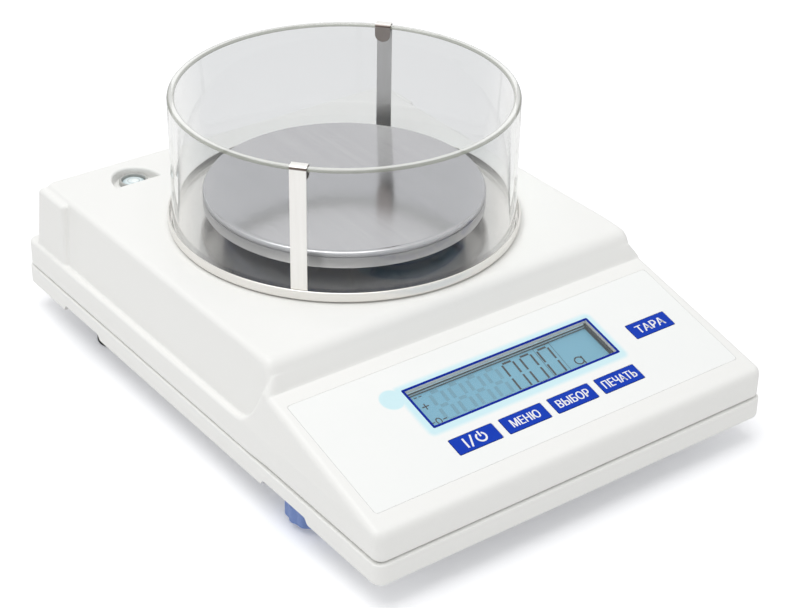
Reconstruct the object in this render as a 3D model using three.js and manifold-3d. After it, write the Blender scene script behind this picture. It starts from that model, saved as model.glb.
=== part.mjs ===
// Laboratory scale with a round glass draught shield, in millimetres, +Z up.
// The origin is on the floor under the middle of the casing. The keypad faces -Y.

import * as THREE from 'three';
import Module from 'manifold-3d';
import { mergeVertices } from 'three/addons/utils/BufferGeometryUtils.js';

const wasm = await Module();
wasm.setup();

// Casing
const casingWidth = 193;
const casingDepth = 270;
const casingWall = 2.6;
const casingCorner = 5;
const skirtHeight = 11.8;
const partingHeight = 21.6;
const ledgeHeight = 34.5;
const topHeight = 65.5;
const seam = 0.35;
const fit = 0.3;
const overrun = 4;

// Raised block that carries the weighing place
const blockFootInset = 3.2;
const blockTopInset = 5.4;
const blockRearFootInset = 6;
const blockRearTopInset = 12;
const blockCorner = 4;
const blockEdge = 1.4;
const shoulderLength = 22;
const shoulderInset = 1.8;
const shoulderDrop = 1.6;
const shoulderSetback = 0.4;

// Sloping front panel and the riser behind it
const panelRun = 74.5;
const panelTopHeight = 53.4;
const noseHeight = 34.4;
const noseRadius = 5;
const panelSideInset = 1.9;
const riserRun = 5.5;
const riserRadius = 6;
const cheekDrop = 6;
const cheekRun = 21;
const cheekRunShares = [0.16, 0.32, 0.5, 0.72, 1];
const cheekHeightShares = [0.62, 0.33, 0.15, 0.04, 0];

// Base tray
const trayFloor = 2.2;
const trayFloorRise = 1.5;
const trayEdge = 1.7;
const trayLip = 3.5;
const notchWidth = 33;
const notchHeight = 4;
const notchSlant = 2;
const wellWall = 2;
const wellMargin = 2.5;

// Front feet, which turn, and plain rear feet
const footInset = 15.5;
const frontFootFromFront = 61;
const wheelRadius = 13;
const wheelHeight = 8;
const wheelLobeDepth = 0.7;
const wheelLobes = 14;
const wheelHubRadius = 7.5;
const padRadius = 7;
const padHeight = 2.7;
const studRadius = 2.9;
const studLength = 20;
const insertWall = 1.5;
const insertLength = 12;
const insertBoss = 2.6;
const rearFootFromRear = 49.3;
const rearFootRadius = 8;

// Screws that join the casing halves
const screwRadius = 1.9;
const screwLength = 22;
const screwHeadRadius = 3.5;
const screwHeadHeight = 2.2;
const postWall = 2.3;
const postInset = 14;
const frontPostFromFront = 91;
const rearPostFromRear = 24;

// Film over the front panel
const filmSideMargin = 6.1;
const filmLength = 59.5;
const filmFromTop = 7;
const filmThickness = 0.4;
const filmCorner = 1.2;

// Display
const windowFromLeft = 51.5;
const windowFromRight = 49.7;
const windowLength = 19.8;
const windowFromTop = 30.6;
const windowThickness = 1.5;
const windowSeat = 1;
const lcdThickness = 2.9;
const lcdMargin = 2.5;
const lcdFrameThickness = 3.2;
const lcdFrameMargin = 1.6;

// Keys, named as they lie on the panel
const keyWidth = 20.5;
const keyLength = 8;
const keyPitch = 24.1;
const keyRowX = 1.3;
const keyRowFromTop = 53.4;
const tareKeyFromRight = 26.6;
const tareKeyFromTop = 34.9;
const keyThickness = 0.65;
const keyStand = 0.1;
const keyTravel = 0.4;
const keySlack = 0.2;
const keyCorner = 0.5;
const plungerRadius = 2;
const plungerLength = 3.2;
const switchSize = 6;
const switchButtonRadius = 1.7;
const switchButtonHeight = 0.8;

// Display board
const boardThickness = 1.6;
const displayBoardSideGap = 12.5;
const displayBoardLength = 46;
const displayBoardFromTop = 39;
const boardPostRadius = 2.6;
const boardPostInset = 4;

// Level
const levelFromLeft = 40;
const levelBackFromRear = 19.7;
const levelPocketWidth = 21.5;
const levelPocketLength = 14.2;
const levelPocketDepth = 4.6;
const vialRadius = 5;
const vialHeight = 7;
const vialOffset = 1.2;
const vialStand = 1.6;
const bezelRadius = 6.4;
const bezelMargin = 0.5;
const bezelHeight = 1.9;

// Weighing place
const pillarFromRear = 111;
const topHoleRadius = 12;
const collarWall = 3;
const collarHeight = 2;
const panRadius = 60;
const panTopHeight = 80.4;
const panSkirt = 7.2;
const panSheet = 1.2;
const panHem = 0.5;
const panHemHeight = 1.6;
const carrierSetback = 10;
const carrierWeb = 1.6;
const carrierRibHeight = 4.8;
const carrierRingHeight = 5.8;
const carrierRingWall = 2.4;
const carrierRibThickness = 2;
const carrierRibs = 12;
const hubRadius = 10;
const stemRadius = 6;
const stemFlangeRadius = 9.5;
const stemFlangeHeight = 2.8;
const stageTravel = 0.35;

// Draught shield
const panToGlass = 9.9;
const shieldSheet = 0.8;
const shieldRingHeight = 4.6;
const shieldLift = 0.3;
const glassWall = 3.2;
const glassTopHeight = 123.6;
const glassEdge = 1.1;
const clipWidth = 6.8;
const clipSheet = 0.5;
const clipTongue = 8;
const clipTurn = THREE.MathUtils.degToRad(-49);

// Weighing cell
const cellWidth = 24;
const cellHeight = 22;
const cellFromRear = 25;
const cellBottomHeight = 30;
const cellOverhang = 12;
const cellSlotRadius = 6.5;
const cellSlotSpan = 34;
const cellSlotWaist = 3;
const cellFootLength = 26;
const stopRadius = 3;
const stopHeadRadius = 5;
const stopHeadHeight = 3;

// Main board and its sockets
const mainBoardFromSide = 21;
const mainBoardLength = 104;
const mainBoardFromPillar = 20.5;
const mainBoardRise = 4.5;
const mainBoardSetback = 9;
const standoffRadius = 2.6;
const standoffInset = 5;
const socketHeight = 9.6;
const powerSocketWidth = 11;
const powerSocketDepth = 14;
const powerBoreRadius = 3;
const powerPinRadius = 1;
const powerBoreDepth = 9;
const powerSocketFromEdge = 10;
const serialBodyWidth = 30;
const serialBodyDepth = 8;
const serialShellWidth = 18;
const serialShellDepth = 6;
const serialShellWall = 0.8;
const serialShellInset = 0.7;
const serialSocketFromEdge = 38;

const roundSides = 20;
const wellSides = 40;
const largeSides = 64;
const cornerSteps = 5;
const smallCornerSteps = 2;

// Helpers: closed meshes to solids and back, and placed primitive shapes

function solid(geometry) {
  const bare = new THREE.BufferGeometry();
  bare.setAttribute('position', geometry.getAttribute('position').clone());
  if (geometry.index) bare.setIndex(geometry.index.clone());
  const merged = mergeVertices(bare, 1e-4);
  const index = merged.index.array;
  const kept = [];
  for (let i = 0; i < index.length; i += 3) {
    const [a, b, c] = [index[i], index[i + 1], index[i + 2]];
    if (a !== b && b !== c && c !== a) kept.push(a, b, c);
  }
  const vertProperties = new Float32Array(merged.getAttribute('position').array);
  const triVerts = new Uint32Array(kept);
  return new wasm.Manifold(new wasm.Mesh({ numProp: 3, vertProperties, triVerts }));
}

function surface(body) {
  const mesh = body.getMesh();
  const geometry = new THREE.BufferGeometry();
  geometry.setAttribute('position', new THREE.BufferAttribute(new Float32Array(mesh.vertProperties), 3));
  geometry.setIndex(new THREE.BufferAttribute(new Uint32Array(mesh.triVerts), 1));
  const shown = geometry.toNonIndexed();
  shown.computeVertexNormals();
  return shown;
}

function joined(...bodies) {
  return bodies.reduce((whole, next) => whole.add(next));
}

function cut(body, ...tools) {
  return tools.reduce((whole, tool) => whole.subtract(tool), body);
}

function block(width, depth, height, x, y, bottom) {
  return new THREE.BoxGeometry(width, depth, height).translate(x, y, bottom + height / 2);
}

function disc(radius, height, x, y, bottom, sides = roundSides) {
  const geometry = new THREE.CylinderGeometry(radius, radius, height, sides);
  return geometry.rotateX(Math.PI / 2).translate(x, y, bottom + height / 2);
}

function spun(profile, sides = largeSides) {
  const points = profile.map(([radius, height]) => new THREE.Vector2(radius, height));
  if (THREE.ShapeUtils.area(points) < 0) points.reverse();
  return new THREE.LatheGeometry(points, sides).rotateX(Math.PI / 2);
}

function outline(points) {
  return new THREE.Shape(points.map(([x, y]) => new THREE.Vector2(x, y)));
}

function raised(shape, height, bottom) {
  const geometry = new THREE.ExtrudeGeometry(shape, { depth: height, bevelEnabled: false, curveSegments: 8 });
  return geometry.translate(0, 0, bottom);
}

// A profile drawn in Y and Z, pushed through along X about the middle
function across(points, width) {
  const geometry = new THREE.ExtrudeGeometry(outline(points), { depth: width, bevelEnabled: false });
  geometry.translate(0, 0, -width / 2);
  const turn = new THREE.Matrix4().makeBasis(
    new THREE.Vector3(0, 1, 0), new THREE.Vector3(0, 0, 1), new THREE.Vector3(1, 0, 0));
  return geometry.applyMatrix4(turn);
}

function roundedOutline(width, length, radius) {
  const points = [];
  const steps = radius > casingWall / 2 ? cornerSteps : smallCornerSteps;
  const corners = [[1, 1, 0], [-1, 1, 1], [-1, -1, 2], [1, -1, 3]];
  for (const [sideX, sideY, quarter] of corners) {
    const centreX = sideX * (width / 2 - radius);
    const centreY = sideY * (length / 2 - radius);
    for (let step = 0; step <= steps; step += 1) {
      const angle = (quarter + step / steps) * Math.PI / 2;
      points.push([centreX + radius * Math.cos(angle), centreY + radius * Math.sin(angle)]);
    }
  }
  return points;
}

// Rounded rectangles at rising heights, skinned into one closed drafted body
function stacked(levels) {
  const rings = levels.map(({ halfWidth, front, rear, radius, height }) => {
    const points = roundedOutline(2 * halfWidth, rear - front, radius);
    return points.map(([x, y]) => [x, y + (front + rear) / 2, height]);
  });
  const count = rings[0].length;
  const index = [];
  for (let level = 0; level + 1 < rings.length; level += 1) {
    for (let i = 0; i < count; i += 1) {
      const here = level * count + i;
      const next = level * count + (i + 1) % count;
      index.push(here, next, next + count, here, next + count, here + count);
    }
  }
  const top = (rings.length - 1) * count;
  for (let i = 1; i + 1 < count; i += 1) {
    index.push(0, i + 1, i);
    index.push(top, top + i, top + i + 1);
  }
  const geometry = new THREE.BufferGeometry();
  geometry.setAttribute('position', new THREE.Float32BufferAttribute(rings.flat(2), 3));
  geometry.setIndex(index);
  return geometry;
}

const part = new THREE.Group();

function addPiece(parent, name, geometry, look, place = [0, 0, 0]) {
  const mesh = new THREE.Mesh(geometry, new THREE.MeshStandardMaterial(look));
  mesh.name = name;
  mesh.position.set(...place);
  parent.add(mesh);
  return mesh;
}

const casingLook = { color: 0xf3f3f0, roughness: 0.5, metalness: 0 };
const filmLook = { color: 0xf4f7f7, roughness: 0.35, metalness: 0 };
const keyLook = { color: 0x1a3bb0, roughness: 0.35, metalness: 0 };
const clearLook = { color: 0xcfe3ea, roughness: 0.08, metalness: 0, transparent: true, opacity: 0.4 };
const lcdLook = { color: 0x7fb0c4, roughness: 0.2, metalness: 0 };
const darkLook = { color: 0x1b2030, roughness: 0.5, metalness: 0 };
const steelLook = { color: 0xc5c5c8, roughness: 0.3, metalness: 1 };
const polishedLook = { color: 0xd4d4d6, roughness: 0.08, metalness: 1 };
const brassLook = { color: 0xc9a552, roughness: 0.35, metalness: 1 };
const alloyLook = { color: 0xb9bcc0, roughness: 0.45, metalness: 1 };
const rubberLook = { color: 0x26272a, roughness: 0.85, metalness: 0 };
const wheelLook = { color: 0x5f74b4, roughness: 0.5, metalness: 0 };
const boardLook = { color: 0x1f6b3c, roughness: 0.55, metalness: 0 };
const plasticLook = { color: 0x17181a, roughness: 0.5, metalness: 0 };

// Places that several pieces share
const front = -casingDepth / 2;
const rear = casingDepth / 2;
const side = casingWidth / 2;
const panelTopY = front + panelRun;
const panelAngle = Math.atan2(panelTopHeight - noseHeight, panelRun);
const housingBottom = partingHeight + seam;
const pillarY = rear - pillarFromRear;
const plateBottom = topHeight + shieldLift;
const plateTop = plateBottom + shieldSheet;
const footX = side - footInset;
const frontFootY = front + frontFootFromFront;
const rearFootY = rear - rearFootFromRear;
const postX = side - postInset;
const posts = [[-postX, front + frontPostFromFront], [postX, front + frontPostFromFront],
  [-postX, rear - rearPostFromRear], [postX, rear - rearPostFromRear]];
const panelTurn = new THREE.Matrix4().makeRotationX(panelAngle).setPosition(0, panelTopY, panelTopHeight);

// Upper housing: lower body with the sloping panel, raised block and rear shoulders

function arcAround(centreY, centreZ, radius, startAngle, endAngle) {
  const points = [];
  for (let step = 0; step <= cornerSteps; step += 1) {
    const angle = startAngle + (endAngle - startAngle) * step / cornerSteps;
    points.push([centreY + radius * Math.cos(angle), centreZ + radius * Math.sin(angle)]);
  }
  return points;
}

const riserLean = riserRun / (topHeight - panelTopHeight);

function lowerBody(inset, bottom) {
  const frontY = front + inset;
  const drop = inset / Math.cos(panelAngle);
  const panelHeightAt = (y) => panelTopHeight - drop - (panelTopY - y) * Math.tan(panelAngle);
  const radius = Math.max(noseRadius - inset, fit);
  const noseY = frontY + radius;
  const noseZ = panelHeightAt(noseY) - radius / Math.cos(panelAngle);
  const nose = arcAround(noseY, noseZ, radius, Math.PI, Math.PI / 2 + panelAngle);
  const riserY = panelTopY + inset;
  const cheekTop = topHeight - cheekDrop - inset;
  const cheekY = riserY + (cheekTop - panelTopHeight) * riserLean;
  const ledge = ledgeHeight - inset;
  const cheek = cheekRunShares.map((share, i) => [
    cheekY + cheekRun * share - inset, ledge + (cheekTop - ledge) * cheekHeightShares[i]]);
  const profile = [
    [frontY, bottom], ...nose, [riserY, panelHeightAt(riserY)], [cheekY, cheekTop],
    ...cheek, [rear + overrun, ledge], [rear + overrun, bottom]];
  const level = (height, narrow) => ({
    halfWidth: side - narrow - inset, front: frontY, rear: rear - inset,
    radius: Math.max(casingCorner - inset, fit), height });
  const topNarrow = panelSideInset * (topHeight - noseHeight) / (panelTopHeight - noseHeight);
  const plan = stacked([level(bottom, 0), level(noseHeight, 0), level(topHeight, topNarrow)]);
  return solid(plan).intersect(solid(across(profile, casingWidth + overrun)));
}

function raisedBlock(inset, bottom) {
  const top = topHeight - inset;
  const frontY = panelTopY + inset;
  const level = (height, sideInset, rearInset) => ({
    halfWidth: side - sideInset - inset, front: frontY, rear: rear - rearInset - inset,
    radius: Math.max(blockCorner - inset, fit), height });
  const plan = stacked([
    level(bottom, blockFootInset, blockRearFootInset),
    level(ledgeHeight, blockFootInset, blockRearFootInset),
    level(top - blockEdge, blockTopInset, blockRearTopInset),
    level(top, blockTopInset + blockEdge, blockRearTopInset + blockEdge)]);
  const radius = riserRadius - inset;
  const lean = Math.atan(riserLean);
  const arcZ = top - radius;
  const arcY = frontY + (arcZ - panelTopHeight) * riserLean + radius / Math.cos(lean);
  const crown = arcAround(arcY, arcZ, radius, Math.PI - lean, Math.PI / 2);
  const profile = [
    [frontY, bottom], [frontY, panelTopHeight], ...crown,
    [rear + overrun, top], [rear + overrun, bottom]];
  return solid(plan).intersect(solid(across(profile, casingWidth + overrun)));
}

function rearShoulders(inset, bottom) {
  const top = topHeight - shoulderDrop - inset;
  const level = (height, sideInset, rearInset) => ({
    halfWidth: side - sideInset - inset, front: rear - blockRearTopInset - shoulderLength + inset,
    rear: rear - shoulderSetback - rearInset - inset, radius: Math.max(blockEdge - inset, fit), height });
  return solid(stacked([
    level(bottom, shoulderInset, blockRearFootInset),
    level(ledgeHeight, shoulderInset, blockRearFootInset),
    level(top - blockEdge, shoulderInset, blockRearTopInset),
    level(top, shoulderInset + blockEdge, blockRearTopInset + blockEdge)]));
}

function casingForm(inset, bottom) {
  return joined(lowerBody(inset, bottom), raisedBlock(inset, bottom), rearShoulders(inset, bottom));
}

// Level pocket: straight towards the front, rounded towards the rear
const levelX = levelFromLeft - side;
const levelFront = rear - levelBackFromRear - levelPocketLength;
const pocketFloor = topHeight - levelPocketDepth;
const vialX = levelX + vialOffset;
const vialY = levelFront + bezelRadius + bezelMargin;
const vialTop = pocketFloor + vialStand;
const vialBoreRadius = vialRadius + fit;

function pocketForm(grow, height, bottom) {
  const points = [];
  for (let step = 0; step <= roundSides; step += 1) {
    const angle = Math.PI * step / roundSides;
    const x = levelX + (levelPocketWidth / 2 + grow) * Math.cos(angle);
    points.push([x, levelFront - grow + (levelPocketLength + 2 * grow) * Math.sin(angle)]);
  }
  return solid(raised(outline(points), height, bottom));
}

// Widths over the panel follow the casing's width
const filmWidth = casingWidth - 2 * filmSideMargin;
const windowWidth = casingWidth - windowFromLeft - windowFromRight;
const windowX = (windowFromLeft - windowFromRight) / 2;
const tareKeyX = side - tareKeyFromRight;
const displayBoardWidth = casingWidth - 2 * displayBoardSideGap;

// Depths below the panel face of what lies behind it
const filmFloor = filmThickness + fit;
const windowFloor = windowThickness + fit;
const lcdTop = casingWall + fit;
const lcdFloor = lcdTop + lcdThickness + fit;
const boardTop = lcdFloor + lcdFrameThickness + fit;
const lcdWidth = windowWidth + 2 * lcdMargin;
const lcdLength = windowLength + 2 * lcdMargin;
const keyBottom = keyThickness - keyStand;
const plungerBottom = keyBottom + plungerLength;
const keyPlaces = {
  power: [keyRowX - keyPitch * 1.5, keyRowFromTop],
  menu: [keyRowX - keyPitch / 2, keyRowFromTop],
  select: [keyRowX + keyPitch / 2, keyRowFromTop],
  print: [keyRowX + keyPitch * 1.5, keyRowFromTop],
  tare: [tareKeyX, tareKeyFromTop] };
const boardPosts = [];
for (const sideSign of [-1, 1]) {
  for (const endSign of [-1, 1]) {
    const postFromTop = displayBoardFromTop + endSign * (displayBoardLength / 2 - boardPostInset);
    boardPosts.push([sideSign * (displayBoardWidth / 2 - boardPostInset), postFromTop]);
  }
}

// A plate in the panel's own frame: its middle, its size and the depths of its two faces
function panelPlate(width, length, corner, x, fromTop, lowerDepth, upperDepth) {
  const shape = outline(roundedOutline(width, length, corner));
  return raised(shape, lowerDepth - upperDepth, -lowerDepth).translate(x, -fromTop, 0);
}

function onPanel(geometry) {
  return solid(geometry.applyMatrix4(panelTurn));
}

function housing() {
  const shell = casingForm(0, housingBottom).subtract(casingForm(casingWall, housingBottom - overrun));
  const postRadius = screwRadius + fit + postWall;
  const postHeight = topHeight - casingWall / 2 - housingBottom;
  const casingPosts = posts.map(([x, y]) => solid(disc(postRadius, postHeight, x, y, housingBottom)));
  const boardPostLength = boardTop - fit - casingWall / 2;
  const hungPosts = boardPosts.map(([x, fromTop]) => onPanel(
    disc(boardPostRadius, boardPostLength, x, -fromTop, fit - boardTop)));
  const collar = solid(disc(topHoleRadius + collarWall, casingWall + collarHeight,
    0, pillarY, topHeight - casingWall, wellSides));
  const tub = pocketForm(casingWall, levelPocketDepth + casingWall / 2, pocketFloor - casingWall);
  const vialBoss = solid(disc(vialBoreRadius + casingWall, vialHeight + casingWall, vialX, vialY,
    vialTop - vialHeight - fit - casingWall));
  const whole = joined(shell, ...casingPosts, ...hungPosts, collar, tub, vialBoss);
  const pilots = posts.map(([x, y]) => solid(disc(
    screwRadius + fit, screwTip + fit - partingHeight, x, y, partingHeight)));
  const keyCuts = Object.values(keyPlaces).flatMap(([x, fromTop]) => [
    onPanel(panelPlate(keyWidth + 2 * fit, keyLength + 2 * fit, keyCorner, x, fromTop,
      keyBottom + keyTravel + fit, -overrun)),
    onPanel(disc(plungerRadius + fit, 2 * overrun, x, -fromTop, -overrun))]);
  return cut(whole, ...pilots, ...keyCuts,
    onPanel(panelPlate(filmWidth + 2 * fit, filmLength + 2 * fit, filmCorner,
      0, filmFromTop + filmLength / 2, filmFloor, -overrun)),
    onPanel(panelPlate(windowWidth + 2 * fit, windowLength + 2 * fit, filmCorner,
      windowX, windowFromTop, windowFloor, -overrun)),
    onPanel(panelPlate(windowWidth - 2 * windowSeat, windowLength - 2 * windowSeat, filmCorner,
      windowX, windowFromTop, casingWall + overrun, -overrun)),
    solid(disc(topHoleRadius, casingWall + collarHeight + overrun,
      0, pillarY, topHeight - 2 * casingWall, wellSides)),
    pocketForm(0, levelPocketDepth + overrun, pocketFloor),
    solid(disc(vialBoreRadius, vialHeight + overrun, vialX, vialY, vialTop - vialHeight - fit)),
    solid(block(powerSocketWidth + 2 * fit, casingWall * 2 + overrun, socketTop + fit - partingHeight,
      powerSocketX, rear, partingHeight)),
    solid(block(serialShellWidth + 2 * fit, casingWall * 2 + overrun,
      socketTop + fit - partingHeight, serialSocketX, rear, partingHeight)));
}

// Base tray
const floorBottom = skirtHeight + trayFloorRise;
const floorTop = floorBottom + trayFloor;
const wellCeiling = skirtHeight + notchHeight;
const wellTop = wellCeiling + wellWall;
const wellRadius = wheelRadius + wellMargin;
const insertRadius = studRadius + fit + insertWall;
const insertBottom = wellCeiling + wellWall;
const screwHeadTop = floorTop;
const screwTip = screwHeadTop + screwLength;
const wheelBottom = padHeight + fit;

function trayForm(inset, bottom, top) {
  const level = (height, narrow) => ({
    halfWidth: side - narrow, front: front + narrow, rear: rear - narrow,
    radius: Math.max(casingCorner - narrow, fit), height });
  if (inset > 0) return solid(stacked([level(bottom, inset), level(top, inset)]));
  return solid(stacked([
    level(bottom, trayEdge), level(bottom + trayEdge, seam / 2), level(top, 0)]));
}

function footPlaces() {
  return [-1, 1].flatMap((sign) => [[sign, frontFootY], [sign, rearFootY]]);
}

function tray() {
  const envelope = trayForm(0, skirtHeight, partingHeight);
  const shell = cut(envelope,
    trayForm(casingWall, floorTop, partingHeight + overrun),
    trayForm(trayLip, skirtHeight - overrun, floorBottom));
  const wells = footPlaces().map(([sign, y]) => joined(
    solid(disc(wellRadius + wellWall, wellTop - floorBottom, sign * footX, y, floorBottom, wellSides)),
    solid(block(footInset, notchWidth + 2 * wellWall, wellTop - floorBottom,
      sign * (footX + footInset / 2), y, floorBottom))));
  const hollows = footPlaces().map(([sign, y]) => joined(
    solid(disc(wellRadius, wellCeiling - skirtHeight + overrun, sign * footX, y,
      skirtHeight - overrun, wellSides)),
    solid(across([
      [y - notchWidth / 2, skirtHeight - overrun], [y - notchWidth / 2, skirtHeight],
      [y - notchWidth / 2 + notchSlant, wellCeiling], [y + notchWidth / 2 - notchSlant, wellCeiling],
      [y + notchWidth / 2, skirtHeight], [y + notchWidth / 2, skirtHeight - overrun]],
    footInset + overrun).translate(sign * (footX + (footInset + overrun) / 2), 0, 0))));
  const insertBosses = [-1, 1].map((sign) => solid(disc(insertRadius + fit + insertBoss,
    insertLength + fit + wellWall, sign * footX, frontFootY, wellCeiling)));
  const insertBores = [-1, 1].map((sign) => solid(disc(insertRadius + fit,
    insertLength + 2 * overrun + wellWall, sign * footX, frontFootY, insertBottom)));
  const studBores = [-1, 1].map((sign) => solid(disc(studRadius + fit,
    2 * overrun, sign * footX, frontFootY, wellCeiling - overrun)));
  const postRadius = screwRadius + fit + postWall;
  const trayPosts = posts.map(([x, y]) => solid(disc(postRadius, partingHeight - floorBottom,
    x, y, floorBottom)));
  const screwBores = posts.flatMap(([x, y]) => [
    solid(disc(screwRadius + fit, partingHeight + overrun - skirtHeight, x, y, skirtHeight)),
    solid(disc(screwHeadRadius + fit, screwHeadTop + fit - skirtHeight + overrun, x, y,
      skirtHeight - overrun))]);
  const standoffs = boardCorners().map(([x, y]) => solid(disc(standoffRadius,
    mainBoardBottom - fit - floorBottom, x, y, floorBottom)));
  const whole = joined(shell, ...wells.map((well) => well.intersect(envelope)),
    ...trayPosts, ...standoffs);
  return cut(joined(cut(whole, ...hollows), ...insertBosses), ...insertBores, ...studBores,
    ...screwBores);
}

// Main board with its two sockets in the rear wall
const mainBoardBottom = floorTop + mainBoardRise;
const mainBoardTop = mainBoardBottom + boardThickness;
const mainBoardWidth = side - mainBoardFromSide - mainBoardFromPillar;
const mainBoardX = mainBoardFromPillar + mainBoardWidth / 2;
const mainBoardY = rear - mainBoardSetback - mainBoardLength / 2;
const socketBottom = mainBoardTop + fit;
const socketTop = socketBottom + socketHeight;
const powerSocketX = mainBoardX + mainBoardWidth / 2 - powerSocketFromEdge;
const serialSocketX = mainBoardX + mainBoardWidth / 2 - serialSocketFromEdge;
const socketFace = rear - seam;

function boardCorners() {
  return [-1, 1].flatMap((signX) => [-1, 1].map((signY) => [
    mainBoardX + signX * (mainBoardWidth / 2 - standoffInset),
    mainBoardY + signY * (mainBoardLength / 2 - standoffInset)]));
}

function powerSocket() {
  const middle = socketBottom + socketHeight / 2;
  const rod = (radius, depth) => solid(new THREE.CylinderGeometry(radius, radius, depth, roundSides)
    .translate(powerSocketX, socketFace - depth / 2, middle));
  const body = solid(block(powerSocketWidth, powerSocketDepth, socketHeight,
    powerSocketX, socketFace - powerSocketDepth / 2, socketBottom));
  return joined(cut(body, rod(powerBoreRadius, powerBoreDepth)),
    rod(powerPinRadius, powerBoreDepth + seam).translate(0, -seam, 0));
}

function serialSocket() {
  const shellHeight = socketHeight - 2 * serialShellInset;
  const bodyFace = rear - casingWall - fit;
  const shell = (shrink, start, end) => solid(raised(outline(roundedOutline(
    serialShellWidth - 2 * shrink, shellHeight - 2 * shrink, shellHeight / 4)), end - start, 0)
    .rotateX(Math.PI / 2).translate(serialSocketX, end, socketBottom + socketHeight / 2));
  const body = solid(block(serialBodyWidth, serialBodyDepth, socketHeight,
    serialSocketX, bodyFace - serialBodyDepth / 2, socketBottom));
  return cut(joined(body, shell(0, bodyFace - seam, socketFace)),
    shell(serialShellWall, socketFace - serialShellDepth, socketFace + overrun));
}

// Weighing cell: a beam fixed at the rear, with a double hole that lets its front end sink
const cellLength = pillarFromRear + cellOverhang - cellFromRear;
const cellY = pillarY - cellOverhang + cellLength / 2;
const cellTop = cellBottomHeight + cellHeight;

function weighingCell() {
  const beam = solid(block(cellWidth, cellLength, cellHeight, 0, cellY, cellBottomHeight));
  const middle = cellBottomHeight + cellHeight / 2;
  const holes = [-1, 1].map((sign) => solid(new THREE.CylinderGeometry(
    cellSlotRadius, cellSlotRadius, cellWidth + overrun, roundSides)
    .rotateZ(Math.PI / 2).translate(0, cellY + sign * cellSlotSpan / 2, middle)));
  const waist = solid(block(cellWidth + overrun, cellSlotSpan, cellSlotWaist,
    0, cellY, middle - cellSlotWaist / 2));
  return cut(beam, ...holes, waist);
}

// Pan, carrier and stem
const carrierRadius = panRadius - carrierSetback;
const carrierTop = panTopHeight - panSheet - fit;
const carrierUnder = carrierTop - carrierWeb;
const stemTop = carrierUnder - fit;

function panProfile() {
  const bottom = panTopHeight - panSkirt;
  const inner = panRadius - panHem - panSheet;
  const rimEdge = panHemHeight / 4;
  return [
    [0, panTopHeight], [panRadius - rimEdge, panTopHeight], [panRadius, panTopHeight - rimEdge],
    [panRadius, panTopHeight - panHemHeight], [panRadius - panHem, panTopHeight - panHemHeight],
    [panRadius - panHem, panTopHeight - panHemHeight - panHem],
    [panRadius, panTopHeight - panHemHeight - panHem * 2], [panRadius, bottom], [inner, bottom],
    [inner, panTopHeight - panSheet], [0, panTopHeight - panSheet]];
}

function panCarrier() {
  const bore = stemRadius + fit;
  const ringInner = carrierRadius - carrierRingWall;
  const dish = solid(spun([
    [0, carrierTop], [carrierRadius, carrierTop], [carrierRadius, carrierTop - carrierRingHeight],
    [ringInner, carrierTop - carrierRingHeight], [ringInner, carrierUnder],
    [hubRadius, carrierUnder], [hubRadius, carrierTop - carrierRingHeight],
    [bore, carrierTop - carrierRingHeight], [bore, carrierUnder], [0, carrierUnder]]));
  const ribLength = ringInner - hubRadius + carrierRingWall;
  const ribs = [];
  for (let i = 0; i < carrierRibs; i += 1) {
    const rib = block(ribLength, carrierRibThickness, carrierRibHeight,
      hubRadius - carrierRingWall / 2 + ribLength / 2, 0, carrierUnder - carrierRibHeight + carrierWeb / 2);
    ribs.push(solid(rib.rotateZ(2 * Math.PI * i / carrierRibs)));
  }
  return joined(dish, ...ribs).translate(0, pillarY, 0);
}

function stem() {
  const bottom = cellTop + stageTravel + fit;
  return joined(solid(disc(stemFlangeRadius, stemFlangeHeight, 0, pillarY, bottom)),
    solid(disc(stemRadius, stemTop - bottom, 0, pillarY, bottom)));
}

// Draught shield: steel ring plate, glass cylinder and two spring-steel clips
const glassInner = panRadius + panToGlass;
const glassRadius = glassInner + glassWall;
const shieldOuterRadius = glassRadius + clipSheet + shieldSheet + 2 * fit;
const glassBottom = plateTop + fit;

function shieldRingProfile() {
  const hole = topHoleRadius + collarWall + fit;
  const inner = shieldOuterRadius - shieldSheet;
  return [
    [hole, plateBottom], [shieldOuterRadius, plateBottom],
    [shieldOuterRadius, plateBottom + shieldRingHeight], [inner, plateBottom + shieldRingHeight],
    [inner, plateTop], [hole, plateTop], [hole, plateBottom]];
}

function glassProfile() {
  const soft = glassEdge;
  return [
    [glassInner, glassBottom], [glassRadius, glassBottom], [glassRadius, glassTopHeight - soft],
    [glassRadius - soft, glassTopHeight], [glassInner + soft, glassTopHeight],
    [glassInner, glassTopHeight - soft], [glassInner, glassBottom]];
}

function clip() {
  const outside = -(glassRadius + fit + clipSheet);
  const inside = -(glassInner - fit - clipSheet);
  const foldBottom = glassTopHeight + fit;
  const foldTop = foldBottom + clipSheet;
  const strip = solid(across([
    [outside, glassBottom], [outside + clipSheet, glassBottom], [outside + clipSheet, foldBottom],
    [inside, foldBottom], [inside, foldTop], [outside, foldTop]], clipWidth));
  const radius = clipWidth / 2;
  const points = [[radius, 0], [-radius, 0]];
  for (let step = 0; step <= roundSides / 2; step += 1) {
    const angle = Math.PI * (1 + 2 * step / roundSides);
    points.push([radius * Math.cos(angle), radius - clipTongue + radius * Math.sin(angle)]);
  }
  const tongue = raised(outline(points), clipSheet, 0).rotateX(Math.PI / 2);
  return joined(strip, solid(tongue.translate(0, inside, foldTop)));
}

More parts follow.
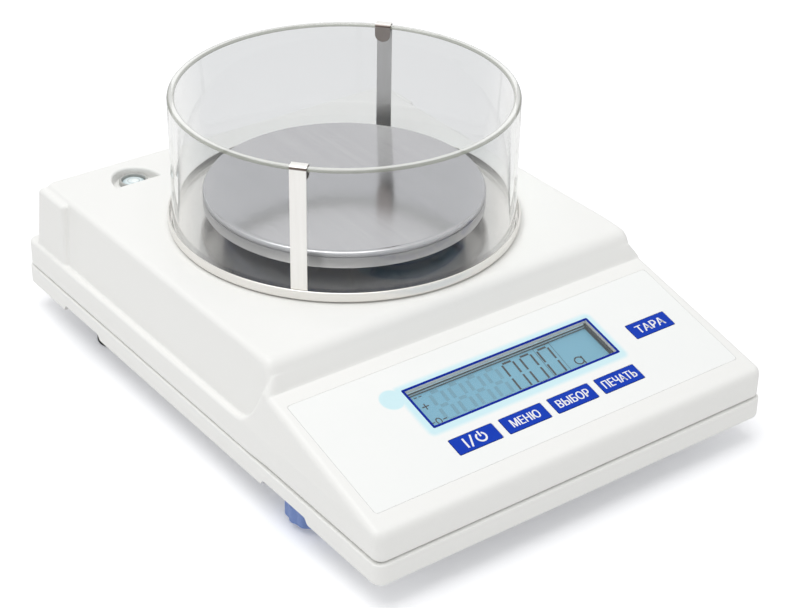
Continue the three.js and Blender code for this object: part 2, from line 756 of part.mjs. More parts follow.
// Front foot: lobed wheel on its stud, pad under it, brass insert in the tray
function footWheel() {
  const points = [];
  const steps = wheelLobes * 4;
  for (let step = 0; step < steps; step += 1) {
    const angle = 2 * Math.PI * step / steps;
    const radius = wheelRadius - wheelLobeDepth * (1 - Math.cos(wheelLobes * angle)) / 2;
    points.push([radius * Math.cos(angle), radius * Math.sin(angle)]);
  }
  const wheel = solid(raised(outline(points), wheelHeight, wheelBottom));
  return joined(wheel, solid(disc(wheelHubRadius, wellCeiling - fit - wheelBottom, 0, 0, wheelBottom)),
    solid(disc(studRadius, wheelHeight + studLength, 0, 0, wheelBottom)));
}

function screw() {
  return joined(
    solid(disc(screwHeadRadius, screwHeadHeight, 0, 0, screwHeadTop - screwHeadHeight)),
    solid(disc(screwRadius, screwLength + screwHeadHeight, 0, 0, screwHeadTop - screwHeadHeight)));
}

// Assembly
addPiece(part, 'upper_housing', surface(housing()), casingLook);
addPiece(part, 'base_tray', surface(tray()), casingLook);

const panel = new THREE.Group();
panel.position.set(0, panelTopY, panelTopHeight);
panel.rotation.x = panelAngle;
part.add(panel);

function holePath(width, length, x, fromTop, middle) {
  const points = roundedOutline(width + 2 * fit, length + 2 * fit, keyCorner);
  return new THREE.Path(points.map(([px, py]) => new THREE.Vector2(px + x, py - fromTop + middle)));
}

const filmMiddle = filmFromTop + filmLength / 2;
const filmShape = outline(roundedOutline(filmWidth, filmLength, filmCorner));
filmShape.holes.push(holePath(windowWidth, windowLength, windowX, windowFromTop, filmMiddle));
for (const [x, fromTop] of Object.values(keyPlaces)) {
  filmShape.holes.push(holePath(keyWidth, keyLength, x, fromTop, filmMiddle));
}
addPiece(panel, 'keypad_film', raised(filmShape, filmThickness, -filmThickness), filmLook,
  [0, -filmMiddle, 0]);
addPiece(panel, 'display_window', panelPlate(windowWidth, windowLength, filmCorner,
  windowX, windowFromTop, windowThickness, 0), clearLook);
addPiece(panel, 'lcd_panel', panelPlate(lcdWidth, lcdLength, fit,
  windowX, windowFromTop, lcdTop + lcdThickness, lcdTop), lcdLook);

const frameGrow = 2 * (fit + lcdFrameMargin);
const lcdFrame = cut(
  solid(panelPlate(lcdWidth + frameGrow, lcdLength + frameGrow, lcdFrameMargin,
    windowX, windowFromTop, lcdFloor + lcdFrameThickness, lcdTop)),
  solid(panelPlate(lcdWidth + 2 * fit, lcdLength + 2 * fit, fit,
    windowX, windowFromTop, lcdFloor, lcdTop - overrun)));
addPiece(panel, 'lcd_frame', surface(lcdFrame), plasticLook);
addPiece(panel, 'display_board', panelPlate(displayBoardWidth, displayBoardLength, lcdFrameMargin,
  0, displayBoardFromTop, boardTop + boardThickness, boardTop), boardLook);

const switchTop = plungerBottom + keyTravel + keySlack;
const switchBottom = boardTop - fit;
for (const [name, [x, fromTop]] of Object.entries(keyPlaces)) {
  const key = joined(
    solid(panelPlate(keyWidth, keyLength, keyCorner, 0, 0, keyBottom, -keyStand)),
    solid(disc(plungerRadius, plungerLength + keyThickness / 2, 0, 0, -plungerBottom)));
  addPiece(panel, `key_${name}`, surface(key), keyLook, [x, -fromTop, 0]);
  const dome = joined(
    solid(panelPlate(switchSize, switchSize, keyCorner, 0, 0,
      switchBottom, switchTop + switchButtonHeight)),
    solid(disc(switchButtonRadius, switchBottom - switchTop, 0, 0, -switchBottom)));
  addPiece(panel, `switch_${name}`, surface(dome), plasticLook, [x, -fromTop, 0]);
}

addPiece(part, 'level_vial', disc(vialRadius, vialHeight, 0, 0, 0), clearLook,
  [vialX, vialY, vialTop - vialHeight]);
addPiece(part, 'level_bezel', spun([
  [vialBoreRadius, 0], [bezelRadius, 0], [bezelRadius, bezelHeight], [vialBoreRadius, bezelHeight],
  [vialBoreRadius, 0]], roundSides), plasticLook, [vialX, vialY, pocketFloor + fit]);

addPiece(part, 'weighing_pan', spun(panProfile()), steelLook, [0, pillarY, 0]);
addPiece(part, 'pan_carrier', surface(panCarrier()), darkLook);
addPiece(part, 'cell_stem', surface(stem()), alloyLook);
addPiece(part, 'weighing_cell', surface(weighingCell()), alloyLook);
addPiece(part, 'cell_mount', block(cellWidth, cellFootLength,
  cellBottomHeight - floorTop - 2 * fit, 0, 0, 0), alloyLook,
[0, cellY + cellLength / 2 - cellFootLength / 2, floorTop + fit]);
addPiece(part, 'overload_stop', surface(joined(
  solid(disc(stopHeadRadius, stopHeadHeight, 0, pillarY, floorTop + fit)),
  solid(disc(stopRadius, cellBottomHeight - stageTravel - floorTop - 2 * fit,
    0, pillarY, floorTop + fit)))), steelLook);

addPiece(part, 'shield_ring', spun(shieldRingProfile()), polishedLook, [0, pillarY, 0]);
addPiece(part, 'shield_glass', spun(glassProfile()), clearLook, [0, pillarY, 0]);
for (const [name, turn] of [['shield_clip_front', clipTurn], ['shield_clip_rear', clipTurn + Math.PI]]) {
  addPiece(part, name, surface(clip()), steelLook, [0, pillarY, 0]).rotation.z = turn;
}

addPiece(part, 'main_board', block(mainBoardWidth, mainBoardLength, boardThickness, 0, 0, 0), boardLook,
  [mainBoardX, mainBoardY, mainBoardBottom]);
addPiece(part, 'power_socket', surface(powerSocket()), plasticLook);
addPiece(part, 'serial_socket', surface(serialSocket()), alloyLook);

for (const [hand, sign] of [['left', -1], ['right', 1]]) {
  addPiece(part, `foot_wheel_${hand}`, surface(footWheel()), wheelLook, [sign * footX, frontFootY, 0]);
  addPiece(part, `foot_pad_${hand}`, disc(padRadius, padHeight, 0, 0, 0), rubberLook,
    [sign * footX, frontFootY, 0]);
  addPiece(part, `foot_insert_${hand}`, spun([
    [studRadius + fit, 0], [insertRadius, 0], [insertRadius, insertLength],
    [studRadius + fit, insertLength], [studRadius + fit, 0]], roundSides), brassLook,
  [sign * footX, frontFootY, insertBottom + fit]);
  addPiece(part, `rear_foot_${hand}`, disc(rearFootRadius, wellCeiling - fit, 0, 0, 0), rubberLook,
    [sign * footX, rearFootY, 0]);
}
posts.forEach(([x, y], i) => addPiece(part, `casing_screw_${i + 1}`, surface(screw()), steelLook, [x, y, 0]));

export default part;
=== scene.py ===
import math

import bmesh
import bpy
import numpy as np
from mathutils import Matrix, Vector


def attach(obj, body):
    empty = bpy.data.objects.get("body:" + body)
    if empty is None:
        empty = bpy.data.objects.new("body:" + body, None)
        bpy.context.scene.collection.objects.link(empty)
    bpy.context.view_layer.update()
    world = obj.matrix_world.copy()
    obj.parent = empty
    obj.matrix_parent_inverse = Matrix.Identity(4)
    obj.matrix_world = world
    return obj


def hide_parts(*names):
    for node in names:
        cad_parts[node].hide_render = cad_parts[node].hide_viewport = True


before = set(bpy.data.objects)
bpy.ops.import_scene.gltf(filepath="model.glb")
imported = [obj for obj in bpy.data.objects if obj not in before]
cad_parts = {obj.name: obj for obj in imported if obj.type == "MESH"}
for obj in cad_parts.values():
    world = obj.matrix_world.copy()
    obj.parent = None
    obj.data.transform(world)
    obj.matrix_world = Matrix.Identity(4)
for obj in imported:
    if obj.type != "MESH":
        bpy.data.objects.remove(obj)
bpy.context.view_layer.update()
mm = 0.001
print("frame loaded:", len(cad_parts), "nodes")

# the camera stands where the photograph was taken from
cameraSetup = {"place": (-0.4218, -0.5794, 0.4613), "azimuth": -36.85, "elevation": 30.88, "roll": 0.97,
               "lens": 87.88, "sensor": 36.0, "clip": (0.05, 20)}


def makeCamera(setup):
    az, el, roll = (math.radians(setup[key]) for key in ("azimuth", "elevation", "roll"))
    back = Vector((math.sin(az) * math.cos(el), -math.cos(az) * math.cos(el), math.sin(el)))
    right = (-back).cross(Vector((0, 0, 1))).normalized()
    up = back.cross(right)
    turnedRight = right * math.cos(roll) + up * math.sin(roll)
    turnedUp = up * math.cos(roll) - right * math.sin(roll)
    data = bpy.data.cameras.new("camera")
    data.lens = setup["lens"]
    data.sensor_width = setup["sensor"]
    data.clip_start, data.clip_end = setup["clip"]
    turn = Matrix((turnedRight, turnedUp, back)).transposed().to_4x4()
    camera = addObject("camera", data)
    camera.matrix_world = Matrix.Translation(setup["place"]) @ turn
    bpy.context.scene.camera = camera


def addObject(name, data, material=None):
    made = bpy.data.objects.new(name, data)
    bpy.context.scene.collection.objects.link(made)
    if material is not None:
        data.materials.clear()
        data.materials.append(material)
    return made


makeCamera(cameraSetup)


class Val:
    # wraps a socket, so that maths on it adds the Math nodes
    def __init__(self, tree, socket):
        self.tree = tree
        self.socket = socket

    def math(self, operation, *others):
        return self.tree.node("ShaderNodeMath", {"operation": operation}, [self, *others])

    def __add__(self, other):
        return self.math("ADD", other)

    def __sub__(self, other):
        return self.math("SUBTRACT", other)

    def __mul__(self, other):
        return self.math("MULTIPLY", other)

    def __truediv__(self, other):
        return self.math("DIVIDE", other)

    def __rsub__(self, other):
        return self.tree.node("ShaderNodeMath", {"operation": "SUBTRACT"}, [other, self])

    __radd__ = __add__
    __rmul__ = __mul__

    def bigger(self, other):
        return self.math("MAXIMUM", other)

    def size(self):
        return self.math("ABSOLUTE")

    def between(self, low, high):
        # a smooth step from 0 at low to 1 at high
        limits = {"Value": self, "From Min": low, "From Max": high}
        return self.tree.node("ShaderNodeMapRange", {"interpolation_type": "SMOOTHSTEP"}, limits)

    def away(self, other):
        # the length of a step of self one way and other square to it
        return (self * self + other * other).math("SQRT")

    def sibling(self, label):
        # another output of the same node
        return Val(self.tree, self.socket.node.outputs[label])


class Tree:
    # adds nodes to a material or to a shape
    def __init__(self, group):
        self.group = group
        self.nodes = group.nodes
        self.links = group.links

    def node(self, kind, settings=None, sockets=None, output=0):
        made = self.nodes.new(kind)
        for key, value in (settings or {}).items():
            setattr(made, key, value)
        pairs = sockets.items() if isinstance(sockets, dict) else enumerate(sockets or [])
        for key, value in pairs:
            self.put(made.inputs[key], value)
        return Val(self, made.outputs[output])

    def put(self, socket, value):
        if isinstance(value, Val):
            self.links.new(value.socket, socket)
        else:
            socket.default_value = value


class Look(Tree):
    # one material; its values are the constant ones of the Principled shader
    titles = {"color": "Base Color", "ior": "IOR", "coat": "Coat Weight", "coatRoughness": "Coat Roughness",
              "transmission": "Transmission Weight", "specular": "Specular IOR Level",
              "emission": "Emission Color", "glow": "Emission Strength"}

    def __init__(self, name, **constant):
        self.material = bpy.data.materials.new(name)
        self.material.use_nodes = True
        super().__init__(self.material.node_tree)
        self.shader = self.nodes["Principled BSDF"]
        self.output = self.nodes["Material Output"]
        self.feed(**constant)

    def feed(self, **values):
        for key, value in values.items():
            self.put(self.shader.inputs[self.titles.get(key, key.capitalize())], value)

    def place(self, scale=(1, 1, 1)):
        coords = self.node("ShaderNodeTexCoord", output=3)
        return self.node("ShaderNodeMapping", {}, {"Vector": coords, "Scale": scale})

    def along(self, direction, start=0.0):
        # the distance along a direction, in metres
        dotted = self.node("ShaderNodeVectorMath", {"operation": "DOT_PRODUCT"}, [self.place(), direction], 1)
        return dotted - start

    def fromAxis(self, at):
        # the distance from an upright axis, in metres
        return self.along((1, 0, 0), at[0] * mm).away(self.along((0, 1, 0), at[1] * mm))

    def noise(self, scale, detail=3.0, rough=0.5, stretch=(1, 1, 1)):
        return self.node("ShaderNodeTexNoise", {}, {"Vector": self.place(stretch), "Scale": scale,
                                                    "Detail": detail, "Roughness": rough})

    def mixed(self, factor, first, second):
        # colours are given as "#rrggbb", as linear light or as a node's output
        first, second = (rgb(color) if isinstance(color, str) else color for color in (first, second))
        return self.node("ShaderNodeMix", {"data_type": "RGBA"}, {0: factor, 6: first, 7: second}, 2)

    def bump(self, height, strength, distance):
        return self.node("ShaderNodeBump", {}, {"Strength": strength, "Distance": distance, "Height": height})


class Shape(Tree):
    # one Geometry Nodes tree, with a named input for each size
    def __init__(self, name, **sizes):
        super().__init__(bpy.data.node_groups.new(name, "GeometryNodeTree"))
        for way in ("INPUT", "OUTPUT"):
            self.group.interface.new_socket("Geometry", in_out=way, socket_type="NodeSocketGeometry")
        for label, size in sizes.items():
            kind = "NodeSocketInt" if isinstance(size, int) else "NodeSocketFloat"
            self.group.interface.new_socket(label, in_out="INPUT", socket_type=kind).default_value = size
        self.begin = self.nodes.new("NodeGroupInput")
        self.end = self.nodes.new("NodeGroupOutput")
        self.sizes = sizes

    def __getitem__(self, label):
        # one of the named inputs
        return Val(self, self.begin.outputs[label])

    def geo(self, kind, **sockets):
        # a Geometry node; an underscore stands for the space in a socket's name
        named = {key.replace("_", " "): value for key, value in sockets.items()}
        return self.node("GeometryNode" + kind, {}, named)

    def attribute(self, label):
        return self.node("GeometryNodeInputNamedAttribute", {"data_type": "FLOAT"}, [label])

    def vector(self, x=0.0, y=0.0, z=0.0):
        return self.node("ShaderNodeCombineXYZ", {}, [x, y, z])

    def places(self):
        # the x and y of each point
        parts = self.node("ShaderNodeSeparateXYZ", {}, [self.geo("InputPosition")])
        return parts, parts.sibling("Y")

    def both(self, first, second):
        whole = self.node("GeometryNodeJoinGeometry", {}, [first])
        self.links.new(second.socket, whole.socket.node.inputs[0])
        return whole

    def finish(self, geometry, material):
        plain = self.node("GeometryNodeRealizeInstances", {}, [geometry])
        painted = self.geo("SetMaterial", Geometry=plain, Material=material)
        self.links.new(painted.socket, self.end.inputs[0])
        return self

    def grow(self, name, base):
        # the base mesh goes through the tree, and a plain mesh comes out
        made = addObject(name, base)
        change = made.modifiers.new(name, "NODES")
        change.node_group = self.group
        for item in self.group.interface.items_tree:
            if item.in_out == "INPUT" and item.name in self.sizes:
                change[item.identifier] = self.sizes[item.name]
        mesh = evaluated(made)
        bpy.data.objects.remove(made)
        return outwards(mesh)


def rgb(code):
    # screen colour "#rrggbb" to linear light
    channels = [int(code[i:i + 2], 16) / 255 for i in (1, 3, 5)]
    return tuple(c / 12.92 if c <= 0.04045 else ((c + 0.055) / 1.055) ** 2.4 for c in channels) + (1.0,)


def evaluated(made):
    graph = bpy.context.evaluated_depsgraph_get()
    return bpy.data.meshes.new_from_object(made.evaluated_get(graph))


def fitted(name, mesh, material, body, slot, replaced=(), angle=35):
    # shades the piece, and hands it to the body that it moves with
    piece = addObject(name, mesh, material)
    mesh.polygons.foreach_set("use_smooth", [True] * len(mesh.polygons))
    mesh.set_sharp_from_angle(angle=math.radians(angle))
    mesh.update()
    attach(piece, body)
    if replaced:
        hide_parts(*replaced)
    return piece


def repaint(node, material):
    # a solid of the frame that is kept gets its finish
    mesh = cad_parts[node].data
    mesh.materials.clear()
    mesh.materials.append(material)


def shift(x, y, z):
    return Matrix.Translation((x * mm, y * mm, z * mm))


def meshFrom(name, points, faces, lines=()):
    mesh = bpy.data.meshes.new(name)
    mesh.from_pydata([tuple(p) for p in points], lines, faces)
    mesh.update()
    return mesh


def outwards(mesh, together=1e-6):
    # merges points that lie together, and turns the faces outwards
    work = bmesh.new()
    work.from_mesh(mesh)
    bmesh.ops.remove_doubles(work, verts=work.verts, dist=together)
    bmesh.ops.recalc_face_normals(work, faces=work.faces)
    work.to_mesh(mesh)
    work.free()
    return mesh


def joined(name, meshes):
    work = bmesh.new()
    for mesh in meshes:
        work.from_mesh(mesh)
    whole = bpy.data.meshes.new(name)
    work.to_mesh(whole)
    work.free()
    return whole


def loft(name, rings, capped=True):
    # rings of equally many points, in mm, skinned from one to the next
    count = len(rings[0])
    points = [Vector(p) * mm for ring in rings for p in ring]
    faces = []
    for start in range(0, count * (len(rings) - 1), count):
        for i in range(count):
            a, b = start + i, start + (i + 1) % count
            faces.append((a, b, b + count, a + count))
    if capped:
        faces.append(tuple(reversed(range(count))))
        faces.append(tuple(range(count * (len(rings) - 1), count * len(rings))))
    return outwards(meshFrom(name, points, faces))


def oval(x, y, rx, ry, segments):
    # points round an ellipse; the first isn't repeated
    angles = [2 * math.pi * i / segments for i in range(segments)]
    return [(x + rx * math.cos(a), y + ry * math.sin(a)) for a in angles]


def ring(radius, height, centre=(0, 0), segments=48):
    return [(x, y, height) for x, y in oval(*centre, radius, radius, segments)]


def disc(name, radius, low, high, centre=(0, 0), segments=48):
    return loft(name, [ring(radius, low, centre, segments), ring(radius, high, centre, segments)])


def arc(centre, radius, start, end, steps):
    # points on an arc, with its angles in degrees
    angles = [math.radians(start + (end - start) * i / steps) for i in range(steps + 1)]
    return [(centre[0] + radius * math.cos(a), centre[1] + radius * math.sin(a)) for a in angles]


def roundedPlan(width, length, radius, steps=6, centre=(0, 0)):
    points = []
    for sx, sy, quarter in ((1, 1, 0), (-1, 1, 1), (-1, -1, 2), (1, -1, 3)):
        corner = (centre[0] + sx * (width / 2 - radius), centre[1] + sy * (length / 2 - radius))
        points += arc(corner, radius, quarter * 90, quarter * 90 + 90, steps)
    return points


def plate(name, plan, low, high, place=None):
    mesh = loft(name, [[(x, y, height) for x, y in plan] for height in (low, high)])
    if place is not None:
        mesh.transform(place)
    return mesh


def ribbon(name, points, width, low, high, closed=False):
    # a flat band along a line, with mitred corners
    count = len(points)
    rings = []
    for i, point in enumerate(points):
        here = Vector(point)
        before, after = Vector(points[i - 1]), Vector(points[(i + 1) % count])
        if not closed and i == 0:
            before = here * 2 - after
        if not closed and i == count - 1:
            after = here * 2 - before
        first, second = (here - before).normalized(), (after - here).normalized()
        mitre = Vector((-(first.y + second.y), first.x + second.x)).normalized()
        reach = width / 2 / max(0.4, mitre.dot(Vector((-first.y, first.x))))
        left, right = here + mitre * reach, here - mitre * reach
        rings.append([(*left, low), (*right, low), (*right, high), (*left, high)])
    if closed:
        rings.append(rings[0])
    return loft(name, rings, not closed)


def turnedShape(material, radius, segments=160, lobes=0, lobeDepth=0.0, lobeFrom=0.0):
    # a profile is swept round a circle, and its outside may be pressed into lobes
    shape = Shape("turnedShape", Radius=radius, Segments=segments, Lobes=lobes, LobeDepth=lobeDepth,
                  LobeFrom=lobeFrom)
    path = shape.geo("CurvePrimitiveCircle", Resolution=shape["Segments"], Radius=shape["Radius"])
    profile = shape.geo("MeshToCurve", Mesh=shape["Geometry"])
    swept = shape.geo("CurveToMesh", Curve=path, Profile_Curve=profile)
    x, y = shape.places()
    out = x.away(y)
    wave = (y.math("ARCTAN2", x) * shape["Lobes"]).math("COSINE")
    press = (1 - wave) * shape["LobeDepth"] * -0.5 * out.between(shape["LobeFrom"], shape["Radius"])
    pressed = shape.geo("SetPosition", Geometry=swept, Offset=shape.vector(x / out * press, y / out * press))
    return shape.finish(pressed, material)


def turned(name, profile, material, centre=(0, 0), **sizes):
    # profile of (radius, height) in mm; it closes on itself unless it begins on the axis
    radius = max(r for r, height in profile)
    lines = [(i, i + 1) for i in range(len(profile) - 1)]
    if profile[0][0] > 0:
        lines.append((len(profile) - 1, 0))
    base = meshFrom(name, [((r - radius) * mm, -height * mm, 0) for r, height in profile], [], lines)
    mesh = turnedShape(material, radius * mm, **sizes).grow(name, base)
    mesh.transform(shift(*centre, 0))
    return mesh


def turnedPiece(name, profile, material, body, slot, replaced, centre, angle=35, **sizes):
    mesh = turned(name, profile, material, centre, **sizes)
    return fitted(name, mesh, material, body, slot, [replaced], angle)


# all lengths of the casing, in mm
casing = {
    "width": 193.0, "depth": 270.0, "wall": 2.6, "corner": 4.4, "parting": 21.6, "seam": 0.35,
    "seamShown": 0.02, "skirt": 11.8, "rim": 0.5, "ledge": 34.5, "top": 65.5, "past": 4.0,
    "panelRun": 74.5, "panelTop": 53.4, "nose": 34.4, "noseRadius": 5.0, "panelInset": 1.9, "insetReach": 1.6,
    "riserRun": 5.5, "riserRadius": 6.0,
    "cheekDrop": 6.0, "cheekRun": 21.0, "cheekPower": 2.75, "cheekInset": 2.9,
    "blockFoot": 3.2, "blockHead": 5.4, "blockRearFoot": 6.0, "blockRearHead": 12.0, "blockReach": 1.1,
    "blockCorner": 4.0, "blockFront": 2.0,
    "shoulderLength": 22.0, "shoulderInset": 1.8, "shoulderDrop": 1.6, "shoulderSetback": 0.4,
    "shoulderCorner": 2.0, "shoulderEdge": 1.6, "shoulderBlend": 0.8,
    "panelEdge": 2.5, "ledgeEdge": 1.3, "riserEdge": 3.4, "topEdge": 2.2, "bottomEdge": 0.15,
    "blend": 0.8, "riserBlend": 0.1, "cheekBlend": 1.2, "hollowFloor": 17.0, "hollowFoot": 6.0,
}
# where a rounding changes: from and to so far behind the panel's top edge, or in from the side
changes = {"panelEdge": (-4, 14), "riserEdge": (6, 20), "blend": (3, 12), "cheek": (10, 24),
           "cheekSide": (13, 5)}
side, rear = casing["width"] / 2, casing["depth"] / 2
front = -rear
panelTopY = front + casing["panelRun"]
panelAngle = math.atan2(casing["panelTop"] - casing["nose"], casing["panelRun"])
riserLean = casing["riserRun"] / (casing["top"] - casing["panelTop"])
pillar = (0.0, rear - 111.0)

# the panel's own place: x to the right, y up the slope, z out of the face
panelPlace = shift(0, panelTopY, casing["panelTop"]) @ Matrix.Rotation(panelAngle, 4, "X")


# moulded skins: a distance field is meshed on a grid that is finer near the edges
def spread(runs):
    # each run is (start, end, step), and runs that begin at 0 are mirrored
    values = []
    for start, end, step in runs:
        values.extend(np.linspace(start, end, max(2, int(round((end - start) / step)) + 1)))
    values = np.unique(np.round(values, 4))
    return np.unique(np.concatenate([-values, values])) if runs[0][0] == 0 else values


def meet(a, b, radius):
    # what two bodies share, with a rounded edge
    past = np.hypot(np.maximum(radius + a, 0), np.maximum(radius + b, 0))
    return np.minimum(-radius, np.maximum(a, b)) + past


def merge(a, b, radius):
    # both bodies together, with a soft joint
    return -meet(-a, -b, radius)


def mix(first, second, share):
    return first + (second - first) * share


def ease(value, low, high):
    share = np.clip((value - low) / (high - low), 0, 1)
    return share * share * (3 - 2 * share)


def behind(y, change):
    # 0 over the panel, and 1 behind the change
    low, high = changes[change]
    return ease(y, panelTopY + low, panelTopY + high)


def planField(x, y, halfWidth, low, high, radius):
    qx = np.abs(x) - halfWidth + radius
    qy = np.abs(y - (low + high) / 2) - (high - low) / 2 + radius
    return np.hypot(np.maximum(qx, 0), np.maximum(qy, 0)) + np.minimum(np.maximum(qx, qy), 0) - radius


def profileField(points, y, z):
    best = np.full(np.broadcast(y, z).shape, 1e9)
    inside = np.zeros(best.shape, bool)
    for (y0, z0), (y1, z1) in zip(points, points[1:] + points[:1]):
        ey, ez = y1 - y0, z1 - z0
        share = np.clip(((y - y0) * ey + (z - z0) * ez) / (ey * ey + ez * ez), 0, 1)
        best = np.minimum(best, (y - y0 - share * ey) ** 2 + (z - z0 - share * ez) ** 2)
        if z0 != z1:
            inside ^= ((z0 <= z) != (z1 <= z)) & (y < y0 + (z - z0) / ez * ey)
    return np.where(inside, -np.sqrt(best), np.sqrt(best))


def cellsRound(where, axis):
    # the four grid cells round each crossed grid edge, in turn
    for da, db in ((1, 1), (0, 1), (0, 0), (1, 0)):
        cell = [w.copy() for w in where]
        cell[(axis + 1) % 3] -= da
        cell[(axis + 2) % 3] -= db
        yield tuple(cell)


def settled(points, field, rounds=5, step=0.02, furthest=0.3):
    # moves points along the field's slope until they lie on the skin
    for _ in range(rounds):
        slope = np.empty_like(points)
        for axis in range(3):
            move = step * np.eye(3)[axis]
            slope[:, axis] = (field(*(points + move).T) - field(*(points - move).T)) / (2 * step)
        move = -field(*points.T)[:, None] * slope / np.maximum((slope ** 2).sum(1), 0.25)[:, None]
        points = points + np.clip(move, -furthest, furthest)
    return points


def skinned(name, field, grid):
    # a point in each cell that the skin passes through, and a face over each crossed grid edge
    lines = [spread(grid[axis]) for axis in "xyz"]
    value = field(*np.meshgrid(*lines, indexing="ij", sparse=True))
    inside = value < 0
    cells = [n - 1 for n in value.shape]
    total, count, crossed = np.zeros(cells + [3]), np.zeros(cells), []
    for axis in range(3):
        where = np.nonzero(np.diff(inside, axis=axis))
        after = tuple(w + (k == axis) for k, w in enumerate(where))
        share = value[where] / (value[where] - value[after])
        point = np.stack([line[w] for line, w in zip(lines, where)], 1)
        point[:, axis] += share * (lines[axis][after[axis]] - point[:, axis])
        for cell in cellsRound(where, axis):
            np.add.at(total, cell, point)
            np.add.at(count, cell, 1)
        crossed.append((where, inside[where]))
    used = count > 0
    index = np.full(cells, -1)
    index[used] = np.arange(used.sum())
    points = settled(total[used] / count[used][:, None], field)
    faces = []
    for axis, (where, outwardUp) in enumerate(crossed):
        quads = np.stack([index[cell] for cell in cellsRound(where, axis)], 1)
        quads[~outwardUp] = quads[~outwardUp][:, ::-1]
        faces.append(quads)
    return meshFrom(name, points * mm, np.concatenate(faces).tolist())


def carved(mesh, steps):
    # each step is ("cut" or "add", mesh), and they are done in turn
    body = addObject("carving", mesh)
    for kind, toolMesh in steps:
        tool = addObject("tool", toolMesh)
        change = body.modifiers.new("carve", "BOOLEAN")
        change.operation = "DIFFERENCE" if kind == "cut" else "UNION"
        change.solver = "MANIFOLD"
        change.object = tool
        done = evaluated(body)
        body.modifiers.clear()
        body.data = done
        bpy.data.objects.remove(tool)
    result = body.data
    bpy.data.objects.remove(body)
    return result


def lowerProfile():
    # side view of the lower body: nose, sloping panel, cheek and ledge
    c = casing
    radius, noseY = c["noseRadius"], front + c["noseRadius"]
    noseZ = c["panelTop"] - (panelTopY - noseY) * math.tan(panelAngle) - radius / math.cos(panelAngle)
    cheekTop = c["top"] - c["cheekDrop"]
    cheekY = panelTopY + (cheekTop - c["panelTop"]) * riserLean
    bottom = c["parting"] + c["seam"]
    points = [(front, bottom)]
    points += arc((noseY, noseZ), radius, 180, 90 + math.degrees(panelAngle), 14)
    points += [(panelTopY, c["panelTop"]), (cheekY, cheekTop)]
    for share in np.linspace(0, 1, 25)[1:]:
        fall = (cheekTop - c["ledge"]) * (1 - share) ** c["cheekPower"]
        points.append((cheekY + c["cheekRun"] * share, c["ledge"] + fall))
    return points + [(rear + c["past"], c["ledge"]), (rear + c["past"], bottom)]


def blockProfile():
    # side view of the upper block, with its soft crown over the panel
    c = casing
    lean = math.atan(riserLean)
    arcZ = c["top"] - c["riserRadius"]
    arcY = panelTopY + (arcZ - c["panelTop"]) * riserLean + c["riserRadius"] / math.cos(lean)
    crown = arc((arcY, arcZ), c["riserRadius"], 180 - math.degrees(lean), 90, 14)
    bottom, end = c["parting"] + c["seam"], rear + c["past"]
    return [(panelTopY, bottom), (panelTopY, c["panelTop"])] + crown + [(end, c["top"]), (end, bottom)]


lowerShape, blockShape = lowerProfile(), blockProfile()


def housingField(x, y, z):
    c = casing
    inset = c["panelInset"] * np.clip((z - c["nose"]) / (c["panelTop"] - c["nose"]), 0, c["insetReach"])
    cheekRise = (z - c["panelTop"]) / (c["top"] - c["cheekDrop"] - c["panelTop"])
    inset = inset + c["cheekInset"] * np.clip(cheekRise, 0, 1)
    edge = mix(c["ledgeEdge"], c["panelEdge"], 1 - behind(y, "panelEdge"))
    plan = planField(x, y, side - inset, front, rear, c["corner"])
    lower = meet(plan, profileField(lowerShape, y, z), edge)
    rise = np.clip((z - c["ledge"]) / (c["top"] - c["ledge"]), 0, c["blockReach"])
    inset = mix(c["blockFoot"], c["blockHead"], rise)
    rearInset = mix(c["blockRearFoot"], c["blockRearHead"], rise)
    edge = mix(c["topEdge"], c["riserEdge"], 1 - behind(y, "riserEdge"))
    plan = planField(x, y, side - inset, panelTopY - c["blockFront"], rear - rearInset, c["blockCorner"])
    block = meet(plan, profileField(blockShape, y, z), edge)
    plan = planField(x, y, side - c["shoulderInset"], rear - c["blockRearHead"] - c["shoulderLength"],
                     rear - c["shoulderSetback"] - rearInset, c["shoulderCorner"])
    shoulder = meet(plan, z - (c["top"] - c["shoulderDrop"]), c["shoulderEdge"])
    # the two bodies share the riser face, so they are blended softly only behind it and at the cheeks
    blend = mix(c["riserBlend"], c["blend"], behind(y, "blend"))
    outer, inner = changes["cheekSide"]
    atCheek = ease(np.abs(x), side - outer, side - inner) * (1 - behind(y, "cheek"))
    whole = merge(lower, merge(block, shoulder, c["shoulderBlend"]), mix(blend, c["cheekBlend"], atCheek))
    return meet(whole, c["parting"] + c["seamShown"] - z, c["bottomEdge"])


def hollowField(x, y, z):
    # the inside of the housing, closed off below its open bottom
    inner = housingField(x, y, np.maximum(z, casing["parting"] + casing["hollowFoot"])) + casing["wall"]
    return np.maximum(inner, casing["hollowFloor"] - z)


skinGrid = {
    "x": [(0, 84, 6), (84, 90.5, 0.9), (90.5, 97.2, 0.42)],
    "y": [(-135.8, -128, 0.45), (-128, -66, 3.6), (-66, -34, 0.8), (-34, 97, 6), (97, 104, 0.6),
          (104, 118, 2.5), (118, 135.8, 0.6)],
    "z": [(21.6, 23, 0.2), (23, 32, 1.5), (32, 36, 0.35), (36, 50, 1.4), (50, 58, 0.8), (58, 66.3, 0.35)],
}
hollowGrid = {
    "x": [(0, 84, 8), (84, 95, 1.4)],
    "y": [(-134, -126, 1), (-126, -68, 5), (-68, -34, 1.6), (-34, 94, 8), (94, 134, 2)],
    "z": [(14, 30, 4), (30, 36, 1), (36, 64, 1.4)],
}
levelPocket = {"x": -56.5, "front": 101.1, "width": 21.5, "length": 14.2, "depth": 4.6, "soft": 1.1,
               "floorSoft": 0.9, "wall": 2.0, "tubTop": 1.0}
